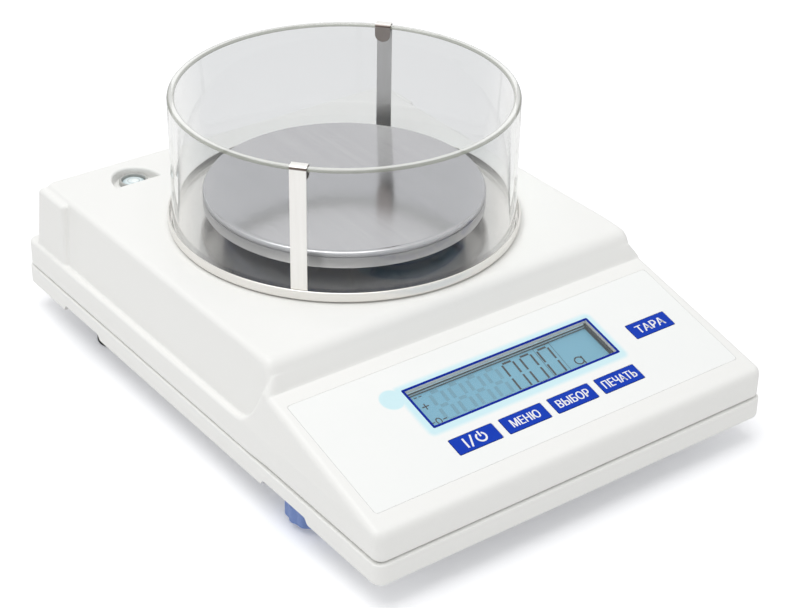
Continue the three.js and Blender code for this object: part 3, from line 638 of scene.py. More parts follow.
display = {"width": 91.8, "length": 19.8, "x": 0.9, "fromTop": 30.6, "seat": 1.8, "lip": 1.0, "lcdDepth": 2.9,
           "gap": 0.3, "corner": 1.4, "openingCorner": 0.8}
keys = {"width": 20.5, "length": 8.0, "rowX": 1.3, "pitch": 24.1, "rowFromTop": 53.4, "tareX": 69.9,
        "tareFromTop": 34.9, "stand": 0.1, "gap": 0.3, "well": 1.25, "bore": 2.3, "corner": 0.6}
film = {"width": 180.8, "length": 59.5, "fromTop": 7.0, "gap": 0.1, "depth": 0.43, "corner": 1.4}
keyPlaces = {name: (keys["rowX"] + keys["pitch"] * step, keys["rowFromTop"])
             for name, step in (("power", -1.5), ("menu", -0.5), ("select", 0.5), ("print", 1.5))}
keyPlaces["tare"] = (keys["tareX"], keys["tareFromTop"])
sockets = {"power": (65.5, 11.0), "serial": (37.5, 18.0), "bottom": 21.9, "top": 31.5, "gap": 0.3,
           "corner": 0.3}
collar = {"radius": 15.0, "hole": 12.0, "rise": 2.0, "soft": 0.6, "root": 3.0}
# how far the cutting shapes reach past what they cut
reach = {"above": 3.0, "opening": 8.0, "bore": 6.0, "holeBelow": 8.0, "holeAbove": 4.0, "pocketAbove": 2.0,
         "socketLength": 14.0, "socketFloor": 20.0}


def pocketRing(grow, height):
    # half an ellipse with its straight side to the front
    p = levelPocket
    y, rx, ry = p["front"] - grow, p["width"] / 2 + grow, p["length"] + 2 * grow
    return [(p["x"] + rx * math.cos(a), y + ry * math.sin(a), height) for a in np.linspace(0, math.pi, 49)]


def pocketCutter():
    p = levelPocket
    floor, top, soft, floorSoft = casing["top"] - p["depth"], casing["top"], p["soft"], p["floorSoft"]
    rings = []
    for a in np.linspace(0, math.pi / 2, 6):
        rings.append(pocketRing(-floorSoft * (1 - math.sin(a)), floor + floorSoft * (1 - math.cos(a))))
    for a in np.linspace(0, math.pi / 2, 7):
        rings.append(pocketRing(soft * (1 - math.cos(a)), top - soft + soft * math.sin(a)))
    return loft("pocketCutter", rings + [pocketRing(soft, top + reach["pocketAbove"])])


def collarSolid():
    top, soft = casing["top"], collar["soft"]
    rings = [ring(collar["radius"], top - collar["root"], pillar, 96)]
    for radius, height in arc((collar["radius"] - soft, top + collar["rise"] - soft), soft, 0, 90, 4):
        rings.append(ring(radius, height, pillar, 96))
    return loft("collar", rings)


def makeHousing(material):
    top, wall = casing["top"], levelPocket["wall"]
    f, d, k, s = film, display, keys, sockets
    steps = [("cut", skinned("hollow", hollowField, hollowGrid)), ("add", collarSolid())]
    hole = disc("hole", collar["hole"], top - reach["holeBelow"], top + reach["holeAbove"], pillar, 96)
    tubEnds = (top - levelPocket["depth"] - wall, top - levelPocket["tubTop"])
    tub = loft("tub", [pocketRing(wall, height) for height in tubEnds])
    steps += [("cut", hole), ("add", tub), ("cut", pocketCutter())]

    def cut(piece, widen, corner, x, fromTop, depth):
        size = (piece["width"] + 2 * widen, piece["length"] + 2 * widen)
        plan = roundedPlan(*size, corner, centre=(x, -fromTop))
        steps.append(("cut", plate("panelCut", plan, -depth, reach["above"], panelPlace)))

    cut(f, f["gap"], f["corner"], 0, f["fromTop"] + f["length"] / 2, f["depth"])
    cut(d, d["gap"], d["corner"], d["x"], d["fromTop"], d["seat"])
    cut(d, -d["lip"], d["openingCorner"], d["x"], d["fromTop"], reach["opening"])
    for x, fromTop in keyPlaces.values():
        cut(k, k["gap"], k["corner"], x, fromTop, k["well"])
        bore = disc("bore", k["bore"], -reach["bore"], reach["above"], (x, -fromTop), 24)
        bore.transform(panelPlace)
        steps.append(("cut", bore))
    for x, width in (s["power"], s["serial"]):
        opening = roundedPlan(width + 2 * s["gap"], reach["socketLength"], s["corner"], 1, (x, rear))
        steps.append(("cut", plate("socketHole", opening, reach["socketFloor"], s["top"] + s["gap"])))
    mesh = carved(skinned("housing", housingField, skinGrid), steps)
    fitted("upperHousing", mesh, material, "casing", "casing_plastic", ["upper_housing"], 32)
    print("housing:", len(mesh.polygons), "faces")


tray = {"lowEdge": 2.2, "highEdge": 0.5, "lip": 3.5, "innerCorner": 3.0, "floorLow": 13.3, "floorHigh": 15.5,
        "underneath": 8.0, "over": 26.0, "notch": 33.0, "notchTop": 15.7, "slant": 2.2,
        "notchIn": 4.0, "notchOut": 3.0,
        "notchFoot": [(-1.2, -3), (-1.2, -0.05), (-0.5, 0.25), (0, 0.9)],
        "notchHead": [(-0.9, -1.1), (-0.35, -0.35), (0.4, 0)],
        "footX": 81.0, "frontFootY": -74.0, "rearFootY": 85.7, "well": 15.5, "wellWall": 2.0, "wellTop": 17.7,
        "wellEdge": 0.8, "stud": 3.2, "studHole": (12, 22), "screwX": 82.5, "screwY": (-44.0, 111.0),
        "post": 6.1, "postTop": 20.5, "screwHead": 3.8, "headSeat": 15.8}
trayGrid = {"x": [(0, 88, 11), (88, 97.2, 0.36)], "y": [(0, 126, 14), (126, 135.9, 0.36)],
            "z": [(11.5, 14.5, 0.25), (14.5, 20.7, 1.5), (20.7, 21.9, 0.15)]}
screwPlaces = [(sign * tray["screwX"], y) for y in tray["screwY"] for sign in (-1, 1)]
footPlaces = [(sign * tray["footX"], y) for y in (tray["frontFootY"], tray["rearFootY"]) for sign in (-1, 1)]


def trayField(x, y, z):
    rim = casing["rim"]
    plan = planField(x, y, side + rim, front - rim, rear + rim, casing["corner"])
    return meet(meet(plan, casing["skirt"] - z, tray["lowEdge"]), z - casing["parting"], tray["highEdge"])


def notchCutter(sign, y):
    # a rounded trapezoid in the skirt, beside a foot
    t = tray
    edge = -t["notch"] / 2
    outline = [(edge + a, casing["skirt"] + b) for a, b in t["notchFoot"]]
    outline += [(edge + t["slant"] + a, t["notchTop"] + b) for a, b in t["notchHead"]]
    outline += [(-a, b) for a, b in reversed(outline)]
    ends = (sign * (t["footX"] - t["notchIn"]), sign * (side + t["notchOut"]))
    return loft("notch", [[(x, y + a, b) for a, b in outline] for x in ends])


def makeTray(material):
    t, c = tray, casing

    def slab(name, inset, low, high):
        plan = roundedPlan(c["width"] - 2 * inset, c["depth"] - 2 * inset, t["innerCorner"])
        return "cut", plate(name, plan, low, high)

    steps = [slab("under", t["lip"], t["underneath"], t["floorLow"]),
             slab("inside", c["wall"], t["floorHigh"], t["over"])]
    for x, y in footPlaces:
        wall, middle = t["wellWall"], (x - math.copysign(t["wellWall"], x), y)
        steps.append(("add", disc("well", t["well"] + wall, t["floorLow"], t["wellTop"], middle, 64)))
    for x, y in footPlaces:
        bend = arc((t["well"] - t["wellEdge"], t["notchTop"] - t["wellEdge"]), t["wellEdge"], 0, 90, 3)
        rings = [ring(radius, height, (x, y), 64) for radius, height in [(t["well"], t["underneath"])] + bend]
        steps.append(("cut", loft("wellHollow", rings)))
        steps.append(("cut", notchCutter(math.copysign(1, x), y)))
        if y < 0:
            steps.append(("cut", disc("studHole", t["stud"], *t["studHole"], (x, y), 32)))
    for place in screwPlaces:
        steps.append(("add", disc("post", t["post"], t["floorLow"], t["postTop"], place, 32)))
        steps.append(("cut", disc("screwHead", t["screwHead"], t["underneath"], t["headSeat"], place, 32)))
    mesh = carved(skinned("tray", trayField, trayGrid), steps)
    fitted("baseTray", mesh, material, "casing", "casing_plastic", ["base_tray"], 32)
    print("tray:", len(mesh.polygons), "faces")


def mouldedWhite():
    # white moulded plastic with a fine spark-eroded grain
    look = Look("mouldedWhite", specular=0.45)
    broad, fine, speck = look.noise(9.0, 2.0), look.noise(2600.0, 2.0, 0.6), look.noise(900.0, 4.0, 0.65)
    look.feed(color=look.mixed(broad * 0.5 + speck * 0.35, "#f6f6f4", "#f1f1ee"),
              roughness=0.38 + speck * 0.1, normal=look.bump(fine + speck * 0.6, 0.16, 0.00004))
    return look.material


whitePlastic = mouldedWhite()
makeHousing(whitePlastic)
makeTray(whitePlastic)


# draught shield: steel ring plate, glass and two spring clips
shield = {"glassInner": 69.9, "glassOuter": 73.1, "glassBottom": 66.9, "glassTop": 123.6, "rimSoft": 1.3,
          "hole": 15.3, "plateBottom": 65.8, "sheet": 0.8, "ringOuter": 75.0, "ringTop": 70.4, "bend": 1.4,
          "clipWidth": 6.8, "clipSheet": 0.5, "clipTongue": 8.0, "clipFold": 1.0, "clipPoint": 0.15,
          "fit": 0.3, "clipTurn": -139.0, "around": 320}


def clearGlass():
    # clear glass, grey-green where it is looked through lengthways, with a painted grey shade where it faces
    # the view
    look = Look("clearGlass", roughness=0.0, transmission=1.0, ior=1.02, coatRoughness=0.02)
    facing = look.node("ShaderNodeLayerWeight", {}, {"Blend": 0.5}, 1)
    inner = look.node("ShaderNodeNewGeometry", output=6)
    # painted grey shade where the glass faces the view, clearing towards its edges
    tint = look.mixed(facing.between(0.35, 0.85), (0.82, 0.83, 0.84, 1), (0.98, 0.98, 0.98, 1))
    look.feed(color=tint, coat=1 - inner)
    veil = look.node("ShaderNodeBsdfTransparent", {}, [rgb("#f4f7f6")])
    path = look.node("ShaderNodeLightPath", output=1)
    seen = look.node("ShaderNodeMixShader", {}, [path, Val(look, look.shader.outputs[0]), veil])
    depth = look.node("ShaderNodeVolumeAbsorption", {}, [rgb("#9aa58c"), 2.5])
    for made, label in ((seen, "Surface"), (depth, "Volume")):
        look.links.new(made.socket, look.output.inputs[label])
    return look.material


def glassEdge():
    # the melted rim: a painted highlight on its crown, and painted olive-grey shade towards both walls
    look = Look("glassEdge", specular=0.8, coat=1.0, coatRoughness=0.04)
    middle = (shield["glassInner"] + shield["glassOuter"]) / 2
    crown = (look.fromAxis(pillar) - middle * mm).size().between(0.0004, 0.0012)
    wave = look.noise(35.0, 2.0)
    look.feed(color=look.mixed(crown, "#f6f7f3", look.mixed(wave, "#7c8073", "#a2a598")),
              roughness=0.12 + wave * 0.08, alpha=0.72 + crown * 0.06)
    return look.material


def polishedSteel():
    look = Look("polishedSteel", metallic=0.84)
    smudge = look.noise(60.0, 4.0, 0.6)
    rim = look.fromAxis(pillar).between((shield["ringOuter"] - 1.0) * mm, (shield["ringOuter"] - 0.5) * mm)
    look.feed(color=look.mixed(smudge, "#e4e2dd", "#efedea"), roughness=0.13 + smudge * 0.1 + rim * 0.15,
              normal=look.bump(look.noise(1500.0, 2.0), 0.05, 0.00001))
    return look.material


def brushedSteel(name, grain, light, dark, rough):
    # the grain runs along the axis where its number is small
    look = Look(name, metallic=1.0)
    lines = look.noise(1.0, 3.0, 0.7, grain)
    cloud = look.noise(45.0, 3.0)
    tone = look.mixed(lines * 0.7 + cloud * 0.3, dark, light)
    look.feed(color=tone, roughness=rough - 0.03 + lines * 0.08, normal=look.bump(lines, 0.12, 0.00001))
    return look, tone


def clipSteel():
    # spring steel, with a painted dark reflection in a band at its bend, and darker brown on the tongue inside
    look, tone = brushedSteel("clipSteel", (500, 500, 25), "#fbfaf8", "#e8e6e2", 0.38)
    height = look.along((0, 0, 1), shield["glassTop"] * mm)
    # a narrow band at the bend, painted dark as a reflection
    bend = height.between(-0.0009, -0.0004) * (1 - height.between(0.0001, 0.0005))
    inner = shield["glassInner"]
    inside = 1 - look.fromAxis(pillar).between((inner - 0.2) * mm, inner * mm)
    look.feed(color=look.mixed(bend.bigger(inside * 0.8), tone, "#6b5f59"))
    return look.material


def grained(name, dark, light, roughness, scale=700.0, strength=0.2, depth=0.00002, **constant):
    # a finish that varies with one fine grain
    look = Look(name, **constant)
    grain = look.noise(scale)
    look.feed(color=look.mixed(grain, dark, light), roughness=roughness + grain * 0.12,
              normal=look.bump(grain, strength, depth))
    return look.material


def plain(name, color, roughness, metallic=0.0, specular=0.5, **grain):
    dark = tuple(c * 0.84 for c in rgb(color)[:3]) + (1.0,)
    return grained(name, dark, color, roughness - 0.06, metallic=metallic, specular=specular, **grain)


def makeGlass():
    s = shield
    low, top, soft = s["glassBottom"] + s["rimSoft"], s["glassTop"] - s["rimSoft"], s["rimSoft"]
    inner, outer = s["glassInner"] + soft, s["glassOuter"] - soft
    profile = []
    for r, height, start in ((inner, top, 180), (outer, top, 90), (outer, low, 0), (inner, low, -90)):
        profile += arc((r, height), soft, start, start - 90, 5)
    glass = clearGlass()
    piece = turnedPiece("shieldGlass", profile, glass, "shield", "shield_glass", "shield_glass", pillar,
                        segments=s["around"])
    piece.data.materials.append(glassEdge())
    for face in piece.data.polygons:
        if face.center.z > top * mm:
            face.material_index = 1


def makeRing():
    s = shield
    low, sheet, outer, bend = s["plateBottom"], s["sheet"], s["ringOuter"], s["bend"]
    middle = outer - sheet / 2
    profile = [(s["hole"], low + sheet), (s["hole"], low)]
    profile += arc((outer - bend, low + bend), bend, -90, 0, 6)
    profile += arc((middle, s["ringTop"] - sheet / 2), sheet / 2, 0, 180, 6)
    profile += arc((outer - bend, low + bend), bend - sheet, 0, -90, 4)
    turnedPiece("shieldRing", profile, polishedSteel(), "shield", "polished_steel", "shield_ring", pillar,
                segments=s["around"])


def clipMesh(name, angle):
    # a strip up the outside of the glass, folded over its rim, with a round tongue inside
    s = shield
    sheet, half, fold = s["clipSheet"], s["clipWidth"] / 2, s["clipFold"]
    outside = s["glassOuter"] + s["fit"] + sheet / 2
    inside = s["glassInner"] - s["fit"] - sheet / 2
    top = s["glassTop"] + s["fit"] + sheet / 2
    bends = arc((outside - fold, top - fold), fold, 0, 90, 5)
    bends += arc((inside + fold, top - fold), fold, 90, 180, 5)
    line = [(r, z, half) for r, z in [(outside, s["glassBottom"])] + bends]
    for angleDown in np.linspace(0, math.pi / 2, 9):
        drop = 1 - math.cos(angleDown)
        width = half * math.sqrt(max(0.0, 1 - drop ** 2))
        line.append((inside, top - s["clipTongue"] + half * (1 - drop), max(s["clipPoint"], width)))
    rings = []
    for i, (r, z, width) in enumerate(line):
        before, after = Vector(line[max(i - 1, 0)][:2]), Vector(line[min(i + 1, len(line) - 1)][:2])
        ahead = (after - before).normalized()
        out = Vector((ahead.y, -ahead.x)) * sheet / 2
        corners = ((1, width), (1, -width), (-1, -width), (-1, width))
        rings.append([(r + sign * out.x, y, z + sign * out.y) for sign, y in corners])
    mesh = loft(name, rings)
    mesh.transform(shift(*pillar, 0) @ Matrix.Rotation(math.radians(angle), 4, "Z"))
    return mesh


def makeClips():
    steel = clipSteel()
    for name, turn in (("front", 0), ("rear", 180)):
        mesh = clipMesh(name + "Clip", shield["clipTurn"] + turn)
        fitted(name + "Clip", mesh, steel, "shield", "satin_steel", ["shield_clip_" + name], 50)


makeGlass()
makeRing()
makeClips()
print("draught shield ready")

# weighing pan and the ribbed carrier under it
pan = {"radius": 60.0, "top": 80.4, "bottom": 73.2, "sheet": 1.2, "edge": 1.2, "lip": 0.2, "lipRun": 2.6,
       "lipBend": 2.0, "lipLeft": 0.12, "grooveDepth": 0.5, "grooveTop": 78.7, "grooveLow": 78.0,
       "grooveSlant": 0.12, "hem": 0.5}
carrier = {"radius": 50.0, "wall": 2.4, "bottom": 73.1, "top": 78.9, "web": 1.2, "webInset": 1.0, "hub": 10.0,
           "bore": 6.3, "ribs": 12, "ribWidth": 2.0, "rings": (22.0, 36.0), "soft": 0.4}


def makePan():
    p = pan
    r, edge, low, hem = p["radius"], p["edge"], p["bottom"], p["hem"]
    face, under = p["top"] - p["lip"], p["top"] - p["sheet"]
    slant, groove = p["grooveSlant"], r - p["grooveDepth"]
    profile = [(0, face), (r - p["lipRun"], face), (r - p["lipBend"], p["top"] - p["lipLeft"])]
    profile += arc((r - edge, p["top"] - edge), edge, 90, 0, 8)
    profile += [(r, p["grooveTop"]), (groove, p["grooveTop"] - slant), (groove, p["grooveLow"] + slant),
                (r, p["grooveLow"])]
    profile += arc((r - hem, low + hem), hem, 0, -90, 4)
    profile += [(r - p["sheet"], low), (r - p["sheet"], under), (0, under)]
    look = brushedSteel("panSteel", (240, 9, 240), "#d8d7d8", "#c6c5c7", 0.09)[0]
    skirt = look.fromAxis(pillar).between((r - 1.0) * mm, (r - 0.3) * mm)
    look.feed(roughness=0.07 + look.noise(45.0, 3.0) * 0.06 + skirt * 0.26)
    turnedPiece("weighingPan", profile, look.material, "pan", "satin_steel", "weighing_pan", pillar, 28,
                segments=shield["around"])


def ribShape(material):
    # ribs from the hub to the rim, one at each step of a full turn
    c = carrier
    shape = Shape("ribShape", Ribs=c["ribs"], Length=(c["radius"] - c["hub"]) * mm, Width=c["ribWidth"] * mm,
                  Height=(c["top"] - c["bottom"] - c["soft"]) * mm, Middle=(c["radius"] + c["hub"]) / 2 * mm)
    spots = shape.geo("MeshCircle", Vertices=shape["Ribs"], Radius=shape["Middle"])
    rib = shape.geo("MeshCube", Size=shape.vector(shape["Length"], shape["Width"], shape["Height"]))
    turn = shape.vector(z=shape.geo("InputIndex") * (2 * math.pi) / shape["Ribs"])
    placed = shape.geo("InstanceOnPoints", Points=spots, Instance=rib, Rotation=turn)
    return shape.finish(shape.both(placed, shape["Geometry"]), material)


def makeCarrier():
    c = carrier
    r, low, top, soft, bore = c["radius"], c["bottom"], c["top"], c["soft"], c["bore"]
    navy = grained("carrierNavy", "#3d4870", "#515c88", 0.42, 1400.0, 0.25, 0.00003, specular=0.5)
    middle = (low + top) / 2

    def hoop(start, end, bottom, height):
        return [(start, bottom), (end, bottom), (end, height), (start, height)]

    rim = [(r - c["wall"], low), (r - soft, low), (r, low + soft), (r, top - soft), (r - soft, top),
           (r - c["wall"], top)]
    outlines = [rim, hoop(bore, r - c["webInset"], middle, middle + c["web"]), hoop(bore, c["hub"], low, top)]
    outlines += [hoop(radius, radius + c["ribWidth"], low + soft, top - soft) for radius in c["rings"]]
    base = joined("carrierRounds", [turned("round", outline, navy, segments=128) for outline in outlines])
    base.transform(shift(0, 0, -middle))
    mesh = ribShape(navy).grow("panCarrier", base)
    mesh.transform(shift(*pillar, middle))
    fitted("panCarrier", mesh, navy, "stage", "dark_plastic", ["pan_carrier"])


makePan()
makeCarrier()
print("pan ready")

# level: a round bubble vial in its ring, in the pocket behind the pan
level = {"place": (-55.3, 108.0), "radius": 5.0, "bottom": 55.5, "top": 62.5, "dome": 0.9, "domeStart": 0.12,
         "bezel": 6.4, "bezelInner": 5.3, "bezelBottom": 61.2, "bezelTop": 63.1, "bezelSoft": 0.5,
         "chamfer": (0.3, 0.4), "target": 2.6, "bubble": 1.7, "bubbleFlat": 0.25, "bubbleSunk": 0.1,
         "bubblePlace": (-54.95, 107.75)}


def makeLevel():
    v = level
    inner, outer, soft, (across, down) = v["bezelInner"], v["bezel"], v["bezelSoft"], v["chamfer"]
    bezel = [(inner, v["bezelBottom"]), (outer, v["bezelBottom"])]
    bezel += arc((outer - soft, v["bezelTop"] - soft), soft, 0, 90, 5)
    bezel += [(inner + across, v["bezelTop"]), (inner, v["bezelTop"] - down)]
    grey = plain("levelRing", "#b9bab7", 0.4)
    turnedPiece("levelRing", bezel, grey, "casing", "dark_plastic", "level_bezel", v["place"], segments=96)
    liquid = Look("levelLiquid", specular=0.6, roughness=0.06)
    out = liquid.fromAxis(v["place"])
    tone = liquid.mixed(out.between(0.0028, 0.0046), "#e3eef0", "#c8d8dc")
    line = 1 - (out - v["target"] * mm).size().between(0.00008, 0.0002)
    liquid.feed(color=liquid.mixed(line * 0.5, tone, "#4a5256"))
    radius, eaves = v["radius"], v["top"] - v["dome"]
    vial = [(0, v["bottom"]), (radius, v["bottom"]), (radius, eaves)]
    vial += [(radius * math.cos(a), eaves + v["dome"] * math.sin(a))
             for a in np.linspace(v["domeStart"], math.pi / 2, 8)[:-1]] + [(0, v["top"])]
    turnedPiece("levelVial", vial, liquid.material, "casing", "clear_cover", "level_vial", v["place"],
                segments=96)
    bubbleLook = Look("levelBubble", color=rgb("#f3fafa"), roughness=0.04, specular=0.9)
    b = v["bubble"]
    bubble = [(0, 0), (b, 0)] + arc((0, 0), b, 8, 82, 6) + [(0, b * 0.99)]
    mesh = turned("levelBubble", bubble, bubbleLook.material, segments=48)
    flat = Matrix.Diagonal((1, 1, v["bubbleFlat"], 1))
    mesh.transform(shift(*v["bubblePlace"], v["top"] - v["bubbleSunk"]) @ flat)
    fitted("levelBubble", mesh, bubbleLook.material, "casing", "clear_cover")


makeLevel()
print("level ready")

# display: printed border, liquid crystal, its digits, and strips round its opening with painted light and
# painted shade
lcd = {"left": "#75b0c9", "right": "#74aec5", "ink": "#121b22", "ghost": "#6ca1b7", "inkDepth": 2.86,
       "inkHigh": 0.02, "digitWidth": 5.5, "digitHeight": 7.6, "stroke": 0.95, "ghostStroke": 1.6,
       "strokeGap": 1.3, "pitch": 9.0, "slant": 0.08, "firstDigit": 3.1, "digits": 3, "ghosts": 4,
       "middleFromTop": 31.2,
       "border": 1.1, "borderGap": 0.1, "borderHigh": 0.04, "borderColor": "#06289c"}
# small signs: points across and up the panel, the stroke's width, and whether it closes
signs = [
    ([(18.0, -22.3), (26.4, -22.3), (25.2, -39), (16.8, -39)], 0.18, True),
    (oval(31.7, -35.9, 2.0, 1.9, 24), 0.62, True),
    ([(33.8, -34.0), (33.5, -38.6), (32.6, -39.8), (30.6, -40.0)], 0.62, False),
    ([(-41.8, -28.8), (-38.6, -28.8)], 0.55, False),
    ([(-40.1, -27.2), (-40.3, -30.4)], 0.55, False),
    (oval(-39.9, -37.3, 1.1, 1.5, 16), 0.5, True),
    ([(-43.7, -37.3), (-41.8, -37.3)], 0.5, False),
    ([(-36.1, -37.3), (-38.0, -37.3)], 0.5, False),
]
signs += [([(start, -23.4), (start + 1.5, -23.4)], 0.45, False) for start in (-44.2, -42.0, -39.8)]
upSlope = (0.0, math.cos(panelAngle), math.sin(panelAngle))
slopeStart = (Vector((0, panelTopY, casing["panelTop"])) * mm).dot(Vector(upSlope))
# the tint: a haze round the display and a round tab beside it
tint = {"middle": (0.4, 31.2), "size": (94.4, 22.4), "haze": (0.0012, 0.0038), "tab": (-0.052, 0.0221),
        "tabEdge": (0.0046, 0.0056)}


def onPanel(look):
    # distances across the panel and down it from its top edge, in metres
    return look.along((1, 0, 0)), 0 - look.along(upSlope, slopeStart)


def filmLook():
    # satin printed film with its tint
    look = Look("printedFilm", specular=0.5)
    places = onPanel(look)
    past = [((place - middle * mm).size() - size * mm / 2).bigger(0.0)
            for place, middle, size in zip(places, tint["middle"], tint["size"])]
    halo = 1 - past[0].away(past[1]).between(*tint["haze"])
    offX, offY = (place - middle for place, middle in zip(places, tint["tab"]))
    tab = 1 - offX.away(offY).between(*tint["tabEdge"])
    cloud = look.noise(30.0, 3.0)
    paper = look.mixed(cloud, "#f4f6f5", "#f8f9f7")
    fine = look.noise(3200.0, 2.0)
    look.feed(color=look.mixed(halo.bigger(tab) * (0.85 + cloud * 0.15), paper, "#cdeef5"),
              roughness=0.3 + fine * 0.1, normal=look.bump(fine, 0.12, 0.00002))
    return look.material


def digitShape(material, count, pitch, slant, thickness):
    # bars are set on the points of one digit, and the digit is set out along a row
    shape = Shape("digitShape", Digits=count, Pitch=pitch * mm, Slant=slant, Stroke=thickness * mm)
    bar = shape.geo("MeshCube", Size=shape.vector(mm, shape["Stroke"], lcd["inkHigh"] * mm))
    digit = shape.geo("InstanceOnPoints", Points=shape["Geometry"], Instance=bar,
                      Rotation=shape.vector(z=shape.attribute("turn")),
                      Scale=shape.vector(shape.attribute("reach"), 1.0, 1.0))
    row = shape.geo("MeshLine", Count=shape["Digits"], Offset=shape.vector(x=shape["Pitch"]))
    placed = shape.geo("InstanceOnPoints", Points=row, Instance=digit)
    flat = shape.node("GeometryNodeRealizeInstances", {}, [placed])
    lean = shape.vector(x=shape.places()[1] * shape["Slant"])
    return shape.finish(shape.geo("SetPosition", Geometry=flat, Offset=lean), material)


def digitRow(name, material, x, count, stroke, levels):
    # a row of digits on the panel: upright bars, and level ones at the given levels
    w, h = lcd["digitWidth"], lcd["digitHeight"]
    gap = stroke * lcd["strokeGap"]
    bars = [(0, level * h, w - gap, 0) for level in levels]
    bars += [(sx * w / 2, sy * h / 2, h - gap, math.pi / 2) for sx in (-1, 1) for sy in (-1, 1)]
    base = meshFrom(name, [(x * mm, y * mm, 0) for x, y, length, turn in bars], [])
    for label, column in (("reach", 2), ("turn", 3)):
        values = base.attributes.new(label, "FLOAT", "POINT")
        values.data.foreach_set("value", [bar[column] for bar in bars])
    mesh = digitShape(material, count, lcd["pitch"], lcd["slant"], stroke).grow(name, base)
    mesh.transform(shift(x, -lcd["middleFromTop"], -lcd["inkDepth"]))
    return mesh


def makeDisplay():
    d = display
    panelLook = Look("liquidCrystal", specular=0.35)
    across = onPanel(panelLook)[0]
    cloud = panelLook.noise(120.0, 3.0)
    share = across.between(-0.047, 0.05) * 0.8 + cloud * 0.2
    panelLook.feed(color=panelLook.mixed(share, lcd["left"], lcd["right"]), roughness=0.3 + cloud * 0.08,
                   normal=panelLook.bump(panelLook.noise(2400.0), 0.1, 0.00001))
    repaint("lcd_panel", panelLook.material)
    ink, ghost = plain("segmentInk", lcd["ink"], 0.4), plain("segmentGhost", lcd["ghost"], 0.4)
    low, first = -lcd["inkDepth"], lcd["firstDigit"]
    marks = [digitRow("zeros", ink, first, lcd["digits"], lcd["stroke"], (1, -1))]
    for points, width, closed in signs:
        marks.append(ribbon("sign", points, width, low, low + lcd["inkHigh"], closed))
    first -= lcd["ghosts"] * lcd["pitch"]
    ghosts = digitRow("lcdGhosts", ghost, first, lcd["ghosts"], lcd["ghostStroke"], (1, 0, -1))
    grow = lcd["border"] + lcd["borderGap"]
    outline = roundedPlan(d["width"] + grow, d["length"] + grow, lcd["borderGap"], 1, (d["x"], -d["fromTop"]))
    border = ribbon("displayBorder", outline, lcd["border"], 0.0, lcd["borderHigh"], True)
    blue = plain("borderBlue", lcd["borderColor"], 0.35, specular=0.1)
    made = [("lcdMarks", joined("lcdMarks", marks), ink, "lcd_glass"),
            ("lcdGhosts", ghosts, ghost, "lcd_glass"), ("displayBorder", border, blue, "film")]
    for name, mesh, material, slot in made:
        mesh.transform(panelPlace)
        fitted(name, mesh, material, "casing", slot)
    makePaintedApertureWalls()
    cover = Look("displayCover", color=rgb("#e9f3f5"), roughness=0.06, alpha=0.05, specular=0.5)
    repaint("display_window", cover.material)


# walls of the opening, pale strips with painted light and dark strips with painted shade: a strip's edges
# across and along are (side of the opening, shift), and its last two values are depths
full, wide = ((-1, 0), (1, 0)), ((-1, -1), (1, 1))
nearEdge, rightWall, rightEdge = ((-1, -1.1), (-1, 0.1)), ((1, -0.2), (1, 0.1)), ((1, -0.2), (1, 1.1))
seat, lcdTop = display["seat"], display["lcdDepth"]
paintedApertureWalls = {
    # pale teal strips: painted light on the walls round the opening
    "gasketPale": ("#c9e9f4", 0.4, "film", [
        (full, ((1, -0.2), (1, 0.05)), lcdTop, seat - 0.3), (wide, rightEdge, seat, seat - 0.25),
        (wide, nearEdge, seat, seat - 0.25), (nearEdge, full, seat, seat - 0.25)]),
    # dark strips: painted shade on the right-hand wall and in thin lines along the far wall
    "gasketDark": ("#2a2c2e", 0.6, "dark_plastic", [
        (rightWall, full, lcdTop, seat - 0.3), (rightEdge, wide, seat, seat - 0.27),
        (full, ((1, -0.5), (1, -0.15)), lcdTop, lcdTop - 0.3),
        (full, ((1, -0.28), (1, 0.3)), seat - 0.25, seat - 0.4)]),
}


def makePaintedApertureWalls():
    # pale walls down to the liquid crystal with painted light on them, and painted shade on the right-hand
    # wall and in thin lines along the far wall
    d = display

    def strip(across, along, low, high):
        x0, x1 = (d["x"] + sign * (d["width"] / 2 - d["lip"]) + more for sign, more in across)
        y0, y1 = (-d["fromTop"] + sign * (d["length"] / 2 - d["lip"]) + more for sign, more in along)
        return plate("strip", [(x1, y1), (x0, y1), (x0, y0), (x1, y0)], -low, -high, panelPlace)

    for name, (color, roughness, slot, strips) in paintedApertureWalls.items():
        mesh = joined(name, [strip(*measures) for measures in strips])
        fitted(name, mesh, plain(name, color, roughness), "casing", slot)


captions = {"menu": ("МЕНЮ", 13.7), "select": ("ВЫБОР", 16.1), "print": ("ПЕЧАТЬ", 16.8),
            "tare": ("ТАРА", 14.5)}
captionSize = {"height": 4.15, "bold": 0.11, "apart": 0.002, "thick": 0.03, "above": 0.02, "color": "#fbfcff",
               "keyColor": "#0836b2"}
powerStrokes = [
    ([(-4.9, 2.5), (-4.9, -2.5)], 0.85), ([(-1.0, 2.9), (-3.2, -2.7)], 0.8),
    ([(2.6 + 2.1 * math.sin(a), 2.1 * math.cos(a)) for a in np.linspace(0.5, 2 * math.pi - 0.5, 25)], 0.8),
    ([(2.6, 3.1), (2.6, 0.3)], 0.8),
]


